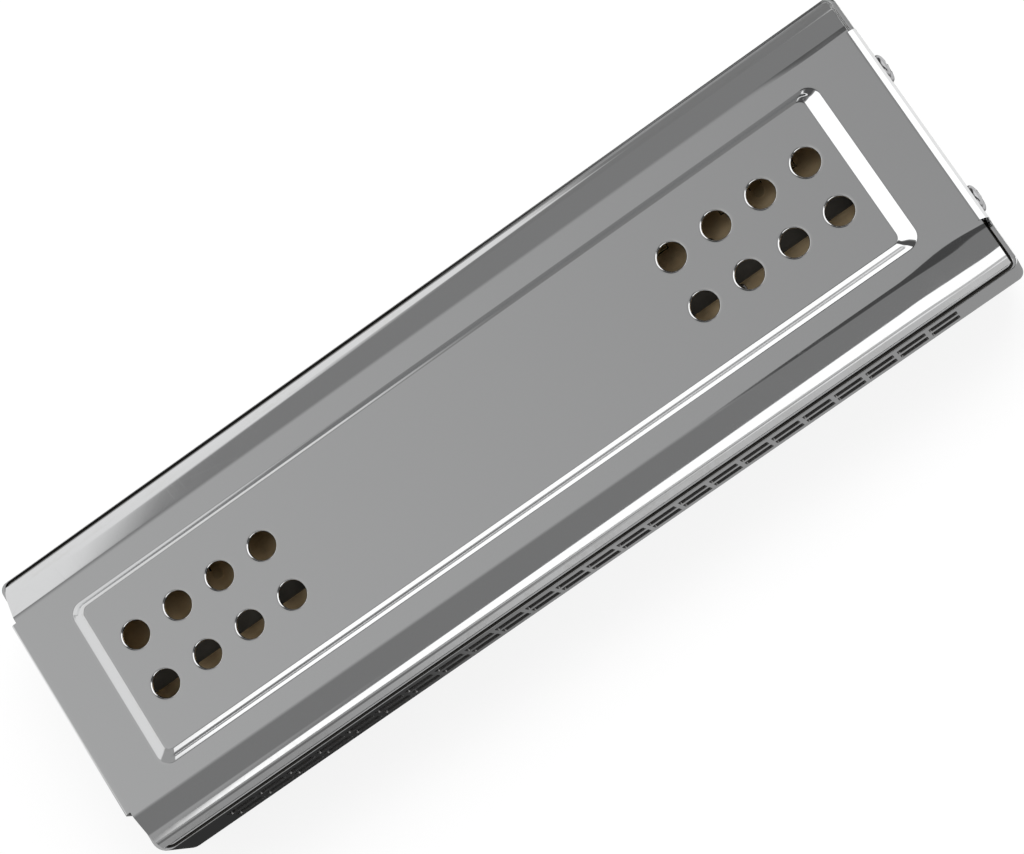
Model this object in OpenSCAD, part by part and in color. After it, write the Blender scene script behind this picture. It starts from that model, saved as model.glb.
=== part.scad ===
// Double-sided tremolo harmonica. X runs along its length, -Y is the front mouth edge, +Z is up.
// The origin is the middle of the lower cover's raised panel, on which the instrument lies.
// Sizes are in millimetres. u is the distance from the middle plane, measured along Y.

/* [Body] */
// Overall length over the mouthpieces and the end tabs
body_length = 182; // [180:0.5:188]
// Overall depth from the front mouth edge to the rear one
body_depth = 57.4; // [57:0.1:60]

/* [Cells] */
// Number of columns of cells along each mouth edge
columns = 24; // [20:1:24]
// Distance from one column to the next
pitch = 6.5; // [6:0.1:6.6]
// Wall between two neighbouring cells
cell_wall = 0.9; // [0.7:0.1:1.2]
// Thickness of the comb between the upper and lower reed plates
comb_thickness = 8.8; // [8.4:0.1:9]
// Web between the upper and the lower row of cells
comb_web = 1; // [0.8:0.1:1.4]
// Width of the solid spine between the front and the rear cells
spine_width = 12.4; // [12.2:0.1:12.8]
// Radius of the comb's corners, seen from above
comb_corner = 2.2; // [1:0.1:2.6]

/* [Mouthpieces] */
// Height of the mouthpieces, from the upper cover's lip to the lower one's
mouth_height = 13.2; // [13:0.1:14]
// Thickness of the wall that the windows go through
mouth_wall = 1; // [0.8:0.1:1.2]
// Depth of the flanges that grip the edges of the reed plates
flange_depth = 3; // [2.4:0.1:3.2]
// Length of the solid block at each end of a mouthpiece
end_block = 5; // [4:0.1:5.4]
// Radius of the mouthpieces' corners, seen from above
mouth_corner = 3; // [1.6:0.1:4]
// How much lower than its cell each window is
window_trim = 0.6; // [0.4:0.1:1.2]

/* [Reed plates] */
// Thickness of a reed plate
plate_thickness = 1; // [0.8:0.05:1.2]
// Gap between the front and the rear plates, which shows the spine
plate_gap = 7.2; // [6.6:0.1:7.4]
// Room between a plate's end and the mouthpiece's end block
plate_end_gap = 0.2; // [0.1:0.05:0.5]
// Room on each side of a tongue in its slot
slot_gap = 0.15; // [0.1:0.01:0.25]

/* [Reeds] */
// Length of the longest tongue
longest_reed = 15.6; // [14:0.1:15.8]
// Length of the shortest tongue
shortest_reed = 8.5; // [7:0.1:10]
// Width of a tongue
reed_width = 2.2; // [1.8:0.1:2.6]
// Thickness of a tongue
reed_thickness = 0.3; // [0.2:0.05:0.35]
// Height of a resting tongue above its plate
reed_rise = 0.1; // [0.05:0.01:0.2]
// Room between a tongue and its root
hinge_gap = 0.05; // [0.03:0.01:0.1]
// Length of a riveted root
root_length = 2.4; // [2:0.1:2.6]
// Width of a riveted root
root_width = 3.2; // [2.4:0.1:3.6]
// Thickness of a riveted root
root_thickness = 0.7; // [0.5:0.05:0.8]
// Radius of a rivet's shank
rivet_radius = 0.55; // [0.4:0.05:0.7]
// Height of a rivet's domed head
rivet_head = 0.3; // [0.2:0.05:0.4]
// Radius of a rivet's two heads
rivet_head_radius = 1; // [0.8:0.05:1.1]
// Thickness of a rivet's flat head
rivet_foot = 0.15; // [0.1:0.01:0.2]

/* [Covers] */
// Thickness of the covers' sheet metal
sheet = 0.6; // [0.5:0.05:0.7]
// Distance from the mouth edge back to the edge of the cover's lip
lip_inset = 0.7; // [0.5:0.05:1]
// Width of the lip that rests on the mouthpiece with its edge
lip_width = 1.35; // [1.2:0.05:1.5]
// Radius of the hollow curve above the lip
cove_radius = 1.5; // [1.3:0.05:1.7]
// Radius of the brow between the slope and the hollow curve
brow_radius = 5.9; // [5.7:0.05:6.1]
// Length of the skirt's slope
slope_length = 3.6; // [3.4:0.05:3.8]
// Radius of the fold between the flat top and the slope
fold_radius = 2.4; // [2:0.05:2.6]
// Angle of the slope below the flat top
slope_angle = 27; // [26:0.5:28]
// Angle of the brow's steepest part below the flat top
brow_angle = 58; // [56:0.5:60]
// Angle of the lip below the flat top
lip_angle = 48; // [46:0.5:50]
// How far the skirts stop short of each end of the body
skirt_inset = 1.3; // [1.1:0.05:1.7]
// Outer radius of the bend between the flat top and an end tab
tab_bend = 1.7; // [1.2:0.05:2]
// Radius of a tab's free corners
tab_corner = 3; // [1:0.1:4]
// Gap between the upper cover's tab and the lower one's
tab_gap = 0.6; // [0.4:0.1:1]

/* [Raised panel] */
// Length of the panel's flat face
panel_length = 153.8; // [150:0.1:156]
// Depth of the panel's flat face
panel_depth = 30; // [28:0.1:32]
// Height of the panel above the flat top
panel_rise = 2.1; // [1.6:0.05:2.4]
// Width of the panel's step at its two ends
end_step = 2.85; // [2:0.05:3.2]
// Width of the panel's step along its two sides
side_step = 1.7; // [1.4:0.05:1.9]
// Corner radius of the panel's flat face
panel_corner = 1.4; // [0.8:0.1:3]

/* [Sound holes] */
// Columns of sound holes in each group
hole_columns = 4; // [2:1:4]
// Distance between the holes along the length
hole_pitch = 9.23; // [8:0.01:9.6]
// Distance between the two rows of holes
hole_row_gap = 10.27; // [8:0.01:12]
// Distance from the middle of the instrument to the middle of a group
hole_group_offset = 57.5; // [54:0.1:58]
// Radius of a sound hole
hole_radius = 2.54; // [2:0.02:2.8]

/* [Fasteners] */
// Clearance between a screw or rivet and its hole
fastener_fit = 0.02; // [0.01:0.01:0.05]
// Distance of a cover screw from the middle of its tab
cover_screw_offset = 14; // [10:0.1:15]
// Height of the cover screws above or below the middle of the body
cover_screw_height = 2.6; // [2.5:0.05:2.8]
// Radius of a cover screw's shank
cover_screw_radius = 1; // [0.8:0.05:1.1]
// Radius of a cover screw's head
cover_screw_head = 2.15; // [1.8:0.05:2.2]
// Height of a cover screw's head
cover_screw_rise = 1.2; // [1:0.05:1.4]
// Length of a cover screw's shank
cover_screw_length = 6; // [4:0.1:6.4]
// Number of plate screws along a plate's back edge, between the end ones
back_screws = 4; // [2:1:4]
// Radius of a plate screw's shank
plate_screw_radius = 0.7; // [0.5:0.05:0.8]
// Radius of a plate screw's head
plate_screw_head = 1.3; // [1.1:0.05:1.5]
// Height of a plate screw's head
plate_screw_rise = 0.9; // [0.7:0.05:1]
// How deep a plate screw goes into the comb
plate_screw_depth = 3.2; // [2.4:0.1:3.4]

/* [Hidden] */
BANKS = ["upper_front", "upper_rear", "lower_front", "lower_rear"];
CORNERS = ["upper_left", "upper_right", "lower_left", "lower_right"];
$fn = 48;
seam = 0.02;
cut = 1;

// Colours
CHROME = [0.78, 0.79, 0.8];
COMB_BLACK = [0.11, 0.1, 0.09];
PLATE_BRASS = [0.78, 0.62, 0.3];
REED_BRASS = [0.87, 0.72, 0.38];
STEEL = [0.62, 0.63, 0.65];

// Lengthwise places, from the middle outwards
end_x = body_length / 2;
comb_end = end_x - sheet;
skirt_end = end_x - skirt_inset;
tab_fold = end_x - tab_bend;
block_start = end_x - end_block;
plate_end = block_start - plate_end_gap;

// Depthwise places, from the middle outwards
mouth_u = body_depth / 2;
comb_u = mouth_u - mouth_wall;
flange_u = mouth_u - flange_depth;
lip_u = mouth_u - lip_inset;
spine_u = spine_width / 2;
plate_back_u = plate_gap / 2;
piece_gap = 0.3;
blow_line = spine_u + piece_gap + root_length;
draw_line = flange_u - piece_gap - root_length;
plate_screw_u = (plate_back_u + spine_u) / 2;

// Heights, from the middle of the body upwards
cell_floor = comb_web / 2;
comb_top = comb_thickness / 2;
plate_top = comb_top + plate_thickness;
mouth_top = mouth_height / 2;
window_low = cell_floor + window_trim / 2;
window_high = comb_top - window_trim / 2;
cell_width = pitch - cell_wall;

// Skirt of the cover, walked outwards from the fold. h is the angle below level.
function bend(start, radius, h0, h1) =
    let(way = h1 > h0 ? 1 : -1, steps = 8)
    [for (k = [1:steps]) let(h = h0 + (h1 - h0) * k / steps)
        [start[0] + way * radius * (sin(h) - sin(h0)), start[1] - way * radius * (cos(h0) - cos(h)), h]];
function ahead(start, length, h) = [start[0] + length * cos(h), start[1] - length * sin(h), h];
function last(points) = points[len(points) - 1];
fold = concat([[0, 0, 0]], bend([0, 0, 0], fold_radius, 0, slope_angle));
slope = ahead(last(fold), slope_length, slope_angle);
brow = concat([slope], bend(slope, brow_radius, slope_angle, brow_angle));
cove = bend(last(brow), cove_radius, brow_angle, lip_angle);
lip = ahead(last(cove), lip_width, lip_angle);
skirt_walk = concat(fold, brow, cove, [lip]);
skirt_drop = -lip[1];
land_top = mouth_top + sheet * cos(lip_angle) + skirt_drop;
fold_u = lip_u - lip[0];
panel_top = land_top + panel_rise;
middle_z = panel_top;
skirt_outer = [for (p = skirt_walk) [fold_u + p[0], land_top + p[1]]];
skirt_inner = [for (p = skirt_walk)
    [fold_u + p[0] - sheet * sin(p[2]), land_top + p[1] - sheet * cos(p[2])]];

// End tabs
tab_half = fold_u - piece_gap;
tab_low = tab_gap / 2;
tab_high = land_top - tab_bend;

// Plate screws: two at each end of a plate, the rest along its back edge
end_screw_margin = 3.2;
end_screw_setback = 2.5;
end_screw_x = plate_end - end_screw_margin;
end_screw_u = draw_line - end_screw_setback;
back_screw_step = 2 * end_screw_x / (back_screws + 1);
plate_screw_places = concat(
    [for (k = [0:back_screws + 1]) [-end_screw_x + k * back_screw_step, plate_screw_u]],
    [for (side = [-1, 1]) [side * end_screw_x, end_screw_u]]
);

// Column i stands at column_x(i); even columns blow and odd columns draw
function column_x(i) = (i - (columns - 1) / 2) * pitch;
function reed_length(i) = longest_reed - (longest_reed - shortest_reed) * i / (columns - 1);
blow_columns = [0:2:columns - 1];
draw_columns = [1:2:columns - 1];

// A rectangle with round corners, centred
module round_rectangle(width, depth, radius) {
    square([width - 2 * radius, depth], center = true);
    square([width, depth - 2 * radius], center = true);
    for (x = [-1, 1]) {
        for (y = [-1, 1]) {
            translate([x * (width / 2 - radius), y * (depth / 2 - radius)]) circle(r = radius);
        }
    }
}

// The comb seen from above, which the mouthpieces fit round
module comb_outline() {
    round_rectangle(2 * comb_end, 2 * comb_u, comb_corner);
}

// A box from low corner to high corner
module block(low, high) {
    translate(low) cube(high - low);
}

// Puts a piece that is drawn as upper_front, about the middle of the body, into its bank
module in_bank(bank) {
    rear = bank == "upper_rear" || bank == "lower_rear";
    lower = bank == "lower_front" || bank == "lower_rear";
    translate([0, 0, middle_z]) mirror([0, 0, lower ? 1 : 0]) rotate([0, 0, rear ? 180 : 0]) children();
}

// The comb's cells on one side and in one row, open to the mouth edge and to the plate
module cells() {
    for (i = [0:columns - 1]) {
        translate([column_x(i) - cell_width / 2, -comb_u - cut])
            square([cell_width, comb_u + cut - spine_u]);
    }
}

// One of the comb's two layers of cells
module cell_layer() {
    linear_extrude(comb_top - cell_floor) difference() {
        comb_outline();
        cells();
        rotate(180) cells();
    }
}

// The holes that the plate screws go into, for the upper_front bank
module plate_screw_holes(depth) {
    for (place = plate_screw_places) {
        translate([place[0], -place[1], comb_top - depth])
            cylinder(r = plate_screw_radius + fastener_fit, h = depth + plate_thickness + cut);
    }
}

// The holes of the two cover screws of the upper right tab, outwards from from_x
module cover_screw_holes(from_x) {
    for (y = [-1, 1]) {
        translate([from_x, y * cover_screw_offset, cover_screw_height]) rotate([0, 90, 0])
            cylinder(r = cover_screw_radius + fastener_fit, h = end_x + cut - from_x);
    }
}

module comb() {
    color(COMB_BLACK) translate([0, 0, middle_z]) difference() {
        union() {
            translate([0, 0, -cell_floor]) linear_extrude(comb_web) comb_outline();
            for (row = [0, 1]) mirror([0, 0, row]) translate([0, 0, cell_floor]) cell_layer();
        }
        for (row = [0, 1]) {
            for (side = [0, 180]) {
                mirror([0, 0, row]) rotate([0, 0, side]) plate_screw_holes(plate_screw_depth);
            }
        }
        for (end = [0, 180]) {
            for (row = [0, 1]) {
                rotate([0, 0, end]) mirror([0, 0, row]) cover_screw_holes(end_x - cover_screw_length);
            }
        }
    }
}

// A mouthpiece, drawn at the front: a channel that grips the comb and the plates' edges
module mouthpiece() {
    difference() {
        intersection() {
            translate([0, 0, -mouth_top]) linear_extrude(mouth_height)
                round_rectangle(body_length, body_depth, mouth_corner);
            block([-end_x, -mouth_u, -mouth_top], [end_x, -tab_half - piece_gap, mouth_top]);
        }
        translate([0, 0, -comb_top]) linear_extrude(comb_thickness) comb_outline();
        block([-block_start, -comb_u, -plate_top], [block_start, 0, plate_top]);
        block([-block_start, -flange_u, -mouth_top - cut], [block_start, 0, mouth_top + cut]);
        for (i = [0:columns - 1]) {
            for (row = [0, 1]) {
                mirror([0, 0, row]) block(
                    [column_x(i) - cell_width / 2, -mouth_u - cut, window_low],
                    [column_x(i) + cell_width / 2, -comb_u + cut, window_high]
                );
            }
        }
    }
}

module mouthpiece_front() {
    color(CHROME) translate([0, 0, middle_z]) mouthpiece();
}

module mouthpiece_rear() {
    color(CHROME) translate([0, 0, middle_z]) rotate([0, 0, 180]) mouthpiece();
}

// A slot through a plate: from its root line towards way, with room at the sides and at the tip
module slot(i, line, way) {
    near = line - way * slot_gap;
    far = line + way * (reed_length(i) + slot_gap);
    translate([column_x(i) - reed_width / 2 - slot_gap, -max(near, far)])
        square([reed_width + 2 * slot_gap, abs(far - near)]);
}

module rivet_hole() {
    circle(r = rivet_radius + fastener_fit);
}

module reed_plate() {
    color(PLATE_BRASS) difference() {
        translate([0, 0, comb_top]) linear_extrude(plate_thickness) difference() {
            translate([-plate_end, -comb_u]) square([2 * plate_end, comb_u - plate_back_u]);
            for (i = blow_columns) {
                slot(i, blow_line, 1);
                translate([column_x(i), -blow_line + root_length / 2]) rivet_hole();
            }
            for (i = draw_columns) {
                slot(i, draw_line, -1);
                translate([column_x(i), -draw_line - root_length / 2]) rivet_hole();
            }
        }
        plate_screw_holes(cut);
    }
}

// A tongue, with its root end on the hinge line: line is the line's place and way the tongue's direction
module tongue(i, line, way, low) {
    near = line + way * hinge_gap;
    far = line + way * reed_length(i);
    block(
        [column_x(i) - reed_width / 2, -max(near, far), low],
        [column_x(i) + reed_width / 2, -min(near, far), low + reed_thickness]
    );
}

module blow_reeds() {
    color(REED_BRASS) for (i = blow_columns) tongue(i, blow_line, 1, comb_top - reed_rise - reed_thickness);
}

module draw_reeds() {
    color(REED_BRASS) for (i = draw_columns) tongue(i, draw_line, -1, plate_top + reed_rise);
}

// A root, from its hinge line back past its rivet, with the rivet's hole
module root(i, line, way, low) {
    back = line - way * root_length;
    translate([0, 0, low]) linear_extrude(root_thickness) difference() {
        translate([column_x(i) - root_width / 2, -max(line, back)]) square([root_width, root_length]);
        translate([column_x(i), -(line + back) / 2]) rivet_hole();
    }
}

module reed_roots() {
    color(REED_BRASS) {
        for (i = blow_columns) root(i, blow_line, 1, comb_top - root_thickness);
        for (i = draw_columns) root(i, draw_line, -1, plate_top);
    }
}

// A rivet through root and plate: domed head above the root, thin flat head on the plate's other face
module rivet(x, u, low, way) {
    shank = root_thickness + plate_thickness;
    translate([x, -u, low]) mirror([0, 0, way < 0 ? 1 : 0]) rotate_extrude() polygon(concat(
        [[0, -rivet_foot], [rivet_head_radius, -rivet_foot], [rivet_head_radius, 0], [rivet_radius, 0]],
        [[rivet_radius, shank], [rivet_head_radius, shank]],
        [for (a = [30:30:90]) [rivet_head_radius * cos(a), shank + rivet_head * sin(a)]]
    ));
}

module reed_rivets() {
    color(PLATE_BRASS) {
        for (i = blow_columns) rivet(column_x(i), blow_line - root_length / 2, plate_top, -1);
        for (i = draw_columns) rivet(column_x(i), draw_line + root_length / 2, comb_top, 1);
    }
}

// A pan-head screw with a cross recess, head upwards and its seat at the origin
module pan_screw(shank_radius, head_radius, head_height, length) {
    recess_width = head_radius * 0.28;
    recess_length = head_radius * 1.15;
    recess_depth = head_height * 0.6;
    rim_height = head_height * 0.25;
    dome_height = head_height - rim_height;
    point_radius = shank_radius * 0.5;
    point_length = shank_radius * 0.8;
    difference() {
        rotate_extrude() polygon(concat(
            [[0, -length], [point_radius, -length], [shank_radius, -length + point_length]],
            [[shank_radius, 0], [head_radius, 0], [head_radius, rim_height]],
            [for (a = [15:15:90]) [head_radius * cos(a), rim_height + dome_height * sin(a)]]
        ));
        for (turn = [0, 90]) {
            rotate([0, 0, turn])
                translate([-recess_length / 2, -recess_width / 2, head_height - recess_depth])
                    cube([recess_length, recess_width, recess_depth + cut]);
        }
    }
}

module plate_screws() {
    length = plate_thickness + plate_screw_depth;
    color(STEEL) for (place = plate_screw_places) {
        translate([place[0], -place[1], plate_top])
            pan_screw(plate_screw_radius, plate_screw_head, plate_screw_rise, length);
    }
}

// The two screws of one tab: up is 1 for the upper cover, end is 1 for the right-hand end
module cover_screws(up, end) {
    color(STEEL) for (y = [-1, 1]) {
        translate([end * end_x, y * cover_screw_offset, middle_z + up * cover_screw_height])
            rotate([0, end * 90, 0])
                pan_screw(cover_screw_radius, cover_screw_head, cover_screw_rise, cover_screw_length);
    }
}

// One ring of points round a rectangle with round corners, at height z
function ring(half_x, half_y, radius, z, corner_steps) =
    [for (quarter = [0:3]) for (k = [0:corner_steps])
        let(a = (quarter + k / corner_steps) * 90)
        let(sx = (quarter == 0 || quarter == 3) ? 1 : -1, sy = quarter < 2 ? 1 : -1)
        [sx * (half_x - radius) + radius * cos(a), sy * (half_y - radius) + radius * sin(a), z]];

// The raised panel as a solid that rises from the flat top in an S-shaped step
module panel_solid(drop) {
    steps = 8;
    corner_steps = 6;
    sides = 4 * (corner_steps + 1);
    rings = concat(
        [[1, -drop]],
        [for (k = [0:steps]) let(s = k / steps) [1 - s, panel_rise * (1 - cos(180 * s)) / 2]]
    );
    points = [for (r = rings) for (p = ring(
        panel_length / 2 + r[0] * end_step, panel_depth / 2 + r[0] * side_step,
        panel_corner + r[0] * side_step, land_top + r[1], corner_steps)) p];
    walls = [for (j = [0:len(rings) - 2]) for (k = [0:sides - 1])
        let(low = j * sides, high = low + sides, next = (k + 1) % sides)
        [low + k, high + k, high + next, low + next]];
    floor_face = [for (k = [0:sides - 1]) k];
    roof_face = [for (k = [sides - 1:-1:0]) (len(rings) - 1) * sides + k];
    polyhedron(points, concat([floor_face, roof_face], walls));
}

// The sheet of the cover along its whole length, without the panel
module cover_sheet() {
    outline = concat(
        [for (k = [len(skirt_outer) - 1:-1:0]) [-skirt_outer[k][0], skirt_outer[k][1]]], skirt_outer,
        [for (k = [len(skirt_inner) - 1:-1:0]) skirt_inner[k]], [for (p = skirt_inner) [-p[0], p[1]]]
    );
    rotate([90, 0, 90]) translate([0, 0, -skirt_end]) linear_extrude(2 * skirt_end) polygon(outline);
}

// The tab at the right-hand end: the bend, and the plate below it with round free corners
module end_tab() {
    difference() {
        union() {
            translate([tab_fold, tab_half, land_top - tab_bend]) rotate([90, 0, 0])
                quarter_bend(tab_bend - sheet, tab_bend, 2 * tab_half);
            translate([comb_end, 0, 0]) rotate([90, 0, 90]) linear_extrude(sheet) intersection() {
                translate([0, tab_low + tab_high / 2]) round_rectangle(2 * tab_half, tab_high, tab_corner);
                translate([-tab_half, 0]) square([2 * tab_half, tab_high + seam]);
            }
        }
        cover_screw_holes(comb_end - cut);
    }
}

// A quarter of a round bend between two radii, over a width
module quarter_bend(inner, outer, width) {
    linear_extrude(width) intersection() {
        difference() {
            circle(r = outer);
            circle(r = inner);
        }
        square(outer + cut);
    }
}

// A cover, drawn as the upper one about the middle of the body
module cover() {
    difference() {
        union() {
            difference() {
                cover_sheet();
                for (end = [0, 180]) {
                    rotate([0, 0, end])
                        block([tab_fold + seam, -tab_half, 0], [end_x, tab_half, land_top + cut]);
                }
            }
            for (end = [0, 180]) rotate([0, 0, end]) end_tab();
            panel_solid(sheet / 2);
        }
        translate([0, 0, -sheet]) panel_solid(sheet);
        for (group = [-1, 1]) {
            for (k = [0:hole_columns - 1]) {
                for (row = [-0.5, 0.5]) {
                    translate([
                        group * hole_group_offset + (k - (hole_columns - 1) / 2) * hole_pitch,
                        row * hole_row_gap, land_top
                    ]) cylinder(r = hole_radius, h = panel_rise + cut);
                }
            }
        }
    }
}

module upper_cover() {
    color(CHROME) translate([0, 0, middle_z]) cover();
}

module lower_cover() {
    color(CHROME) translate([0, 0, middle_z]) mirror([0, 0, 1]) cover();
}

comb();
mouthpiece_front();
mouthpiece_rear();
upper_cover();
lower_cover();
for (bank = BANKS) {
    in_bank(bank) reed_plate();
    in_bank(bank) blow_reeds();
    in_bank(bank) draw_reeds();
    in_bank(bank) reed_roots();
    in_bank(bank) reed_rivets();
    in_bank(bank) plate_screws();
}
cover_screws(1, -1);  // cover_screws_upper_left
cover_screws(1, 1);  // cover_screws_upper_right
cover_screws(-1, -1);  // cover_screws_lower_left
cover_screws(-1, 1);  // cover_screws_lower_right
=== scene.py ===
"""Looks of the double-sided tremolo harmonica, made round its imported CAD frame.

Meshes are drawn in millimetres about the middle plane of the body, and turned into metres when they are
placed. X runs along the instrument, -Y is the front mouth edge and +Z is up. u is the distance from the
middle along Y.
"""
import logging
import math
from dataclasses import dataclass
from enum import Enum
from typing import Any, Callable, Iterable, Optional, Sequence

import bmesh
import bpy
from mathutils import Matrix, Vector


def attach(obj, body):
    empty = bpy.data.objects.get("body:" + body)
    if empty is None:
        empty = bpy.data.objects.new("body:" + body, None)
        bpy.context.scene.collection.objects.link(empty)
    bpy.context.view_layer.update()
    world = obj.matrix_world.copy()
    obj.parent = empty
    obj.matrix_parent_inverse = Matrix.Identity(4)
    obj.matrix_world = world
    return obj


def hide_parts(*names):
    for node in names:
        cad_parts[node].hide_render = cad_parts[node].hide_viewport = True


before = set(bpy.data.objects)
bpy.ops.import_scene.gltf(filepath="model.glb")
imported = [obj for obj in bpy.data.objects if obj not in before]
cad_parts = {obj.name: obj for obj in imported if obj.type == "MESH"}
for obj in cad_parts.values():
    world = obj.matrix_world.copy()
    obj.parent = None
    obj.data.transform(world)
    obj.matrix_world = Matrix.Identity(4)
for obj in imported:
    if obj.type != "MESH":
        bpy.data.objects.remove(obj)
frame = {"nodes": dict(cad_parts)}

MM = 0.001
WEAR = "edge_wear"
# Mesh layer of painted shade: the dark seam under the covers, the windows and the screw recesses.
RECESS_SHADE = "seam_grime"
# Points nearer than this, in millimetres, are the same point.
CLOSE = 0.001
# Edges that turn by more than this, in radians, are sharp.
SHARP = 0.9
WHITE = (1.0, 1.0, 1.0, 1.0)
log = logging.getLogger("harmonica")

Flat = tuple[float, float]
Point = tuple[float, float, float]
Colour = tuple[float, float, float, float]
Mesh = bmesh.types.BMesh
Vert = bmesh.types.BMVert
Edge = bmesh.types.BMEdge
Face = bmesh.types.BMFace
Socket = bpy.types.NodeSocket


class NodeWord(Enum):
    """A choice that the names of the CAD nodes spell out."""

    @property
    def word(self) -> str:
        """The choice as the CAD nodes spell it."""
        return self.name.lower()


class Level(NodeWord):
    """Upper or lower half of the instrument."""

    UPPER = 1
    LOWER = -1


class Side(NodeWord):
    """Front or rear mouth edge."""

    FRONT = -1
    REAR = 1


class End(NodeWord):
    """Left or right end of the body."""

    LEFT = -1
    RIGHT = 1


class Breath(NodeWord):
    """Which way a reed speaks."""

    BLOW = "blow"
    DRAW = "draw"


class Effect(Enum):
    """Surface effects that several finishes share."""

    SCRATCHES = "Fine scratches"
    SMUDGES = "Handling smudges"
    WEAR = "Edge wear"
    GRAIN = "Rolled grain"
    WAVES = "Sheet waves"
    SPECKLE = "Moulded speckle"


@dataclass(frozen=True)
class Body:
    """Sizes that the pieces share, the same as the CAD's, in millimetres."""

    half_length: float = 91.0
    half_depth: float = 28.7
    sheet: float = 0.6
    mouth_top: float = 6.6
    mouth_wall: float = 1.0
    plate_top: float = 5.4
    comb_top: float = 4.4
    columns: int = 24
    pitch: float = 6.5
    cell_width: float = 5.6
    land_top: float = 12.2399
    panel_rise: float = 2.1
    fold_u: float = 20.3172
    cover_screw: Flat = (14.0, 2.6)

    def column_x(self, column: int) -> float:
        """Lengthwise place of a column of cells."""
        return (column - (self.columns - 1) / 2) * self.pitch

    def placed(self, level: Level = Level.UPPER, side: Side = Side.FRONT) -> Matrix:
        """Matrix that puts a piece drawn as upper and front, in millimetres, into its bank in metres.

        Args:
            level: half of the instrument that the piece belongs to.
            side: mouth edge that the piece belongs to.

        Returns:
            The matrix from the drawing to the frame.
        """
        middle = (self.land_top + self.panel_rise) * MM
        turn = Matrix.Rotation(math.pi if side is Side.REAR else 0.0, 4, "Z")
        flip = Matrix.Diagonal((1.0, 1.0, float(level.value), 1.0))
        return Matrix.Translation((0.0, 0.0, middle)) @ flip @ turn @ Matrix.Scale(MM, 4)


BODY = Body()


class Tree:
    """Adds nodes to one node tree and wires them."""

    def __init__(self, tree: bpy.types.NodeTree) -> None:
        """Keeps the tree that the nodes go into.

        Args:
            tree: the node tree.
        """
        self.tree = tree

    def add(self, kind: str, inputs: Optional[dict] = None, **settings: Any) -> bpy.types.Node:
        """Adds a node.

        Args:
            kind: the node's type, without the ShaderNode before it.
            inputs: a value or a socket for each input that isn't left at its default.
            settings: attributes of the node.

        Returns:
            The new node.
        """
        node = self.tree.nodes.new("ShaderNode" + kind)
        for name, value in settings.items():
            setattr(node, name, value)
        for key, value in (inputs or {}).items():
            self.feed(node.inputs[key], value)
        return node

    def feed(self, socket: Socket, value: Any) -> None:
        """Gives an input a value, or wires a socket to it.

        Args:
            socket: the input.
            value: a number, a colour, a vector or another node's output.
        """
        if isinstance(value, Socket):
            self.tree.links.new(value, socket)
        else:
            socket.default_value = value

    def math(self, operation: str, *values: Any, clamp: bool = False) -> Socket:
        """Adds a Math node.

        Args:
            operation: the operation's name.
            values: its one, two or three inputs.
            clamp: whether the result is kept between 0 and 1.

        Returns:
            The result's socket.
        """
        node = self.add("Math", dict(enumerate(values)), operation=operation, use_clamp=clamp)
        return node.outputs[0]

    def step(self, value: Any, low: Any, high: Any) -> Socket:
        """Adds a smooth step from 0 at low to 1 at high.

        Args:
            value: what is compared.
            low: where the step begins.
            high: where it ends.

        Returns:
            The step's socket.
        """
        inputs = {"Value": value, "From Min": low, "From Max": high}
        return self.add("MapRange", inputs, interpolation_type="SMOOTHSTEP").outputs["Result"]

    def blend(self, factor: Any, first: Any, second: Any) -> Socket:
        """Mixes two numbers.

        Args:
            factor: 0 for the first, 1 for the second.
            first: a number or socket.
            second: a number or socket.

        Returns:
            The mixed number's socket.
        """
        node = self.add("Mix", {0: factor, 2: first, 3: second}, data_type="FLOAT")
        return node.outputs[0]

    def tint(self, factor: Any, first: Any, second: Any) -> Socket:
        """Mixes two colours.

        Args:
            factor: 0 for the first, 1 for the second.
            first: a colour or socket.
            second: a colour or socket.

        Returns:
            The mixed colour's socket.
        """
        node = self.add("Mix", {0: factor, 6: first, 7: second}, data_type="RGBA")
        return node.outputs[2]

    def stretched(self, vector: Any, scale: Sequence[float], turn: float = 0.0) -> Socket:
        """Stretches coordinates.

        Args:
            vector: the coordinates' socket.
            scale: scale along each axis.
            turn: rotation about Z in degrees, before the stretch.

        Returns:
            The stretched coordinates' socket.
        """
        turned = self.add("Mapping", {"Vector": vector, "Rotation": (0.0, 0.0, math.radians(turn))})
        return self.add("Mapping", {"Vector": turned.outputs[0], "Scale": tuple(scale)}).outputs[0]

    def attribute(self, name: str) -> Socket:
        """Reads what a mesh marks on its points or corners."""
        return self.add("Attribute", attribute_name=name).outputs["Fac"]

    def bump(self, height: Socket, strength: float, depth: float, under: Optional[Socket] = None) -> Socket:
        """Turns a height into a normal.

        Args:
            height: the height's socket.
            strength: how much of it shows.
            depth: what a height of 1 stands for, in metres.
            under: normal of a coarser relief that this one lies on.

        Returns:
            The normal's socket.
        """
        inputs = {"Strength": strength, "Distance": depth, "Height": height}
        if under is not None:
            inputs["Normal"] = under
        return self.add("Bump", inputs).outputs[0]

    def rays(self) -> tuple[Socket, Socket]:
        """Tells rays that show something from rays that only carry light.

        Returns:
            1 for the rays of the camera, a reflection or a clear body, and 1 for those of a reflection alone.
        """
        path = self.add("LightPath").outputs
        shows = self.math("MAXIMUM", path["Is Camera Ray"], path["Is Glossy Ray"])
        return self.math("MAXIMUM", shows, path["Is Transmission Ray"]), path["Is Glossy Ray"]

    def noise(self, vector: Any, scale: Any, detail: float = 2.0, roughness: float = 0.5) -> Socket:
        """Adds a noise texture.

        Args:
            vector: the coordinates' socket.
            scale: how many features there are in a metre.
            detail: number of finer layers.
            roughness: strength of the finer layers.

        Returns:
            The noise value's socket.
        """
        inputs = {"Vector": vector, "Scale": scale, "Detail": detail, "Roughness": roughness}
        return self.add("TexNoise", inputs).outputs[0]


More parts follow.
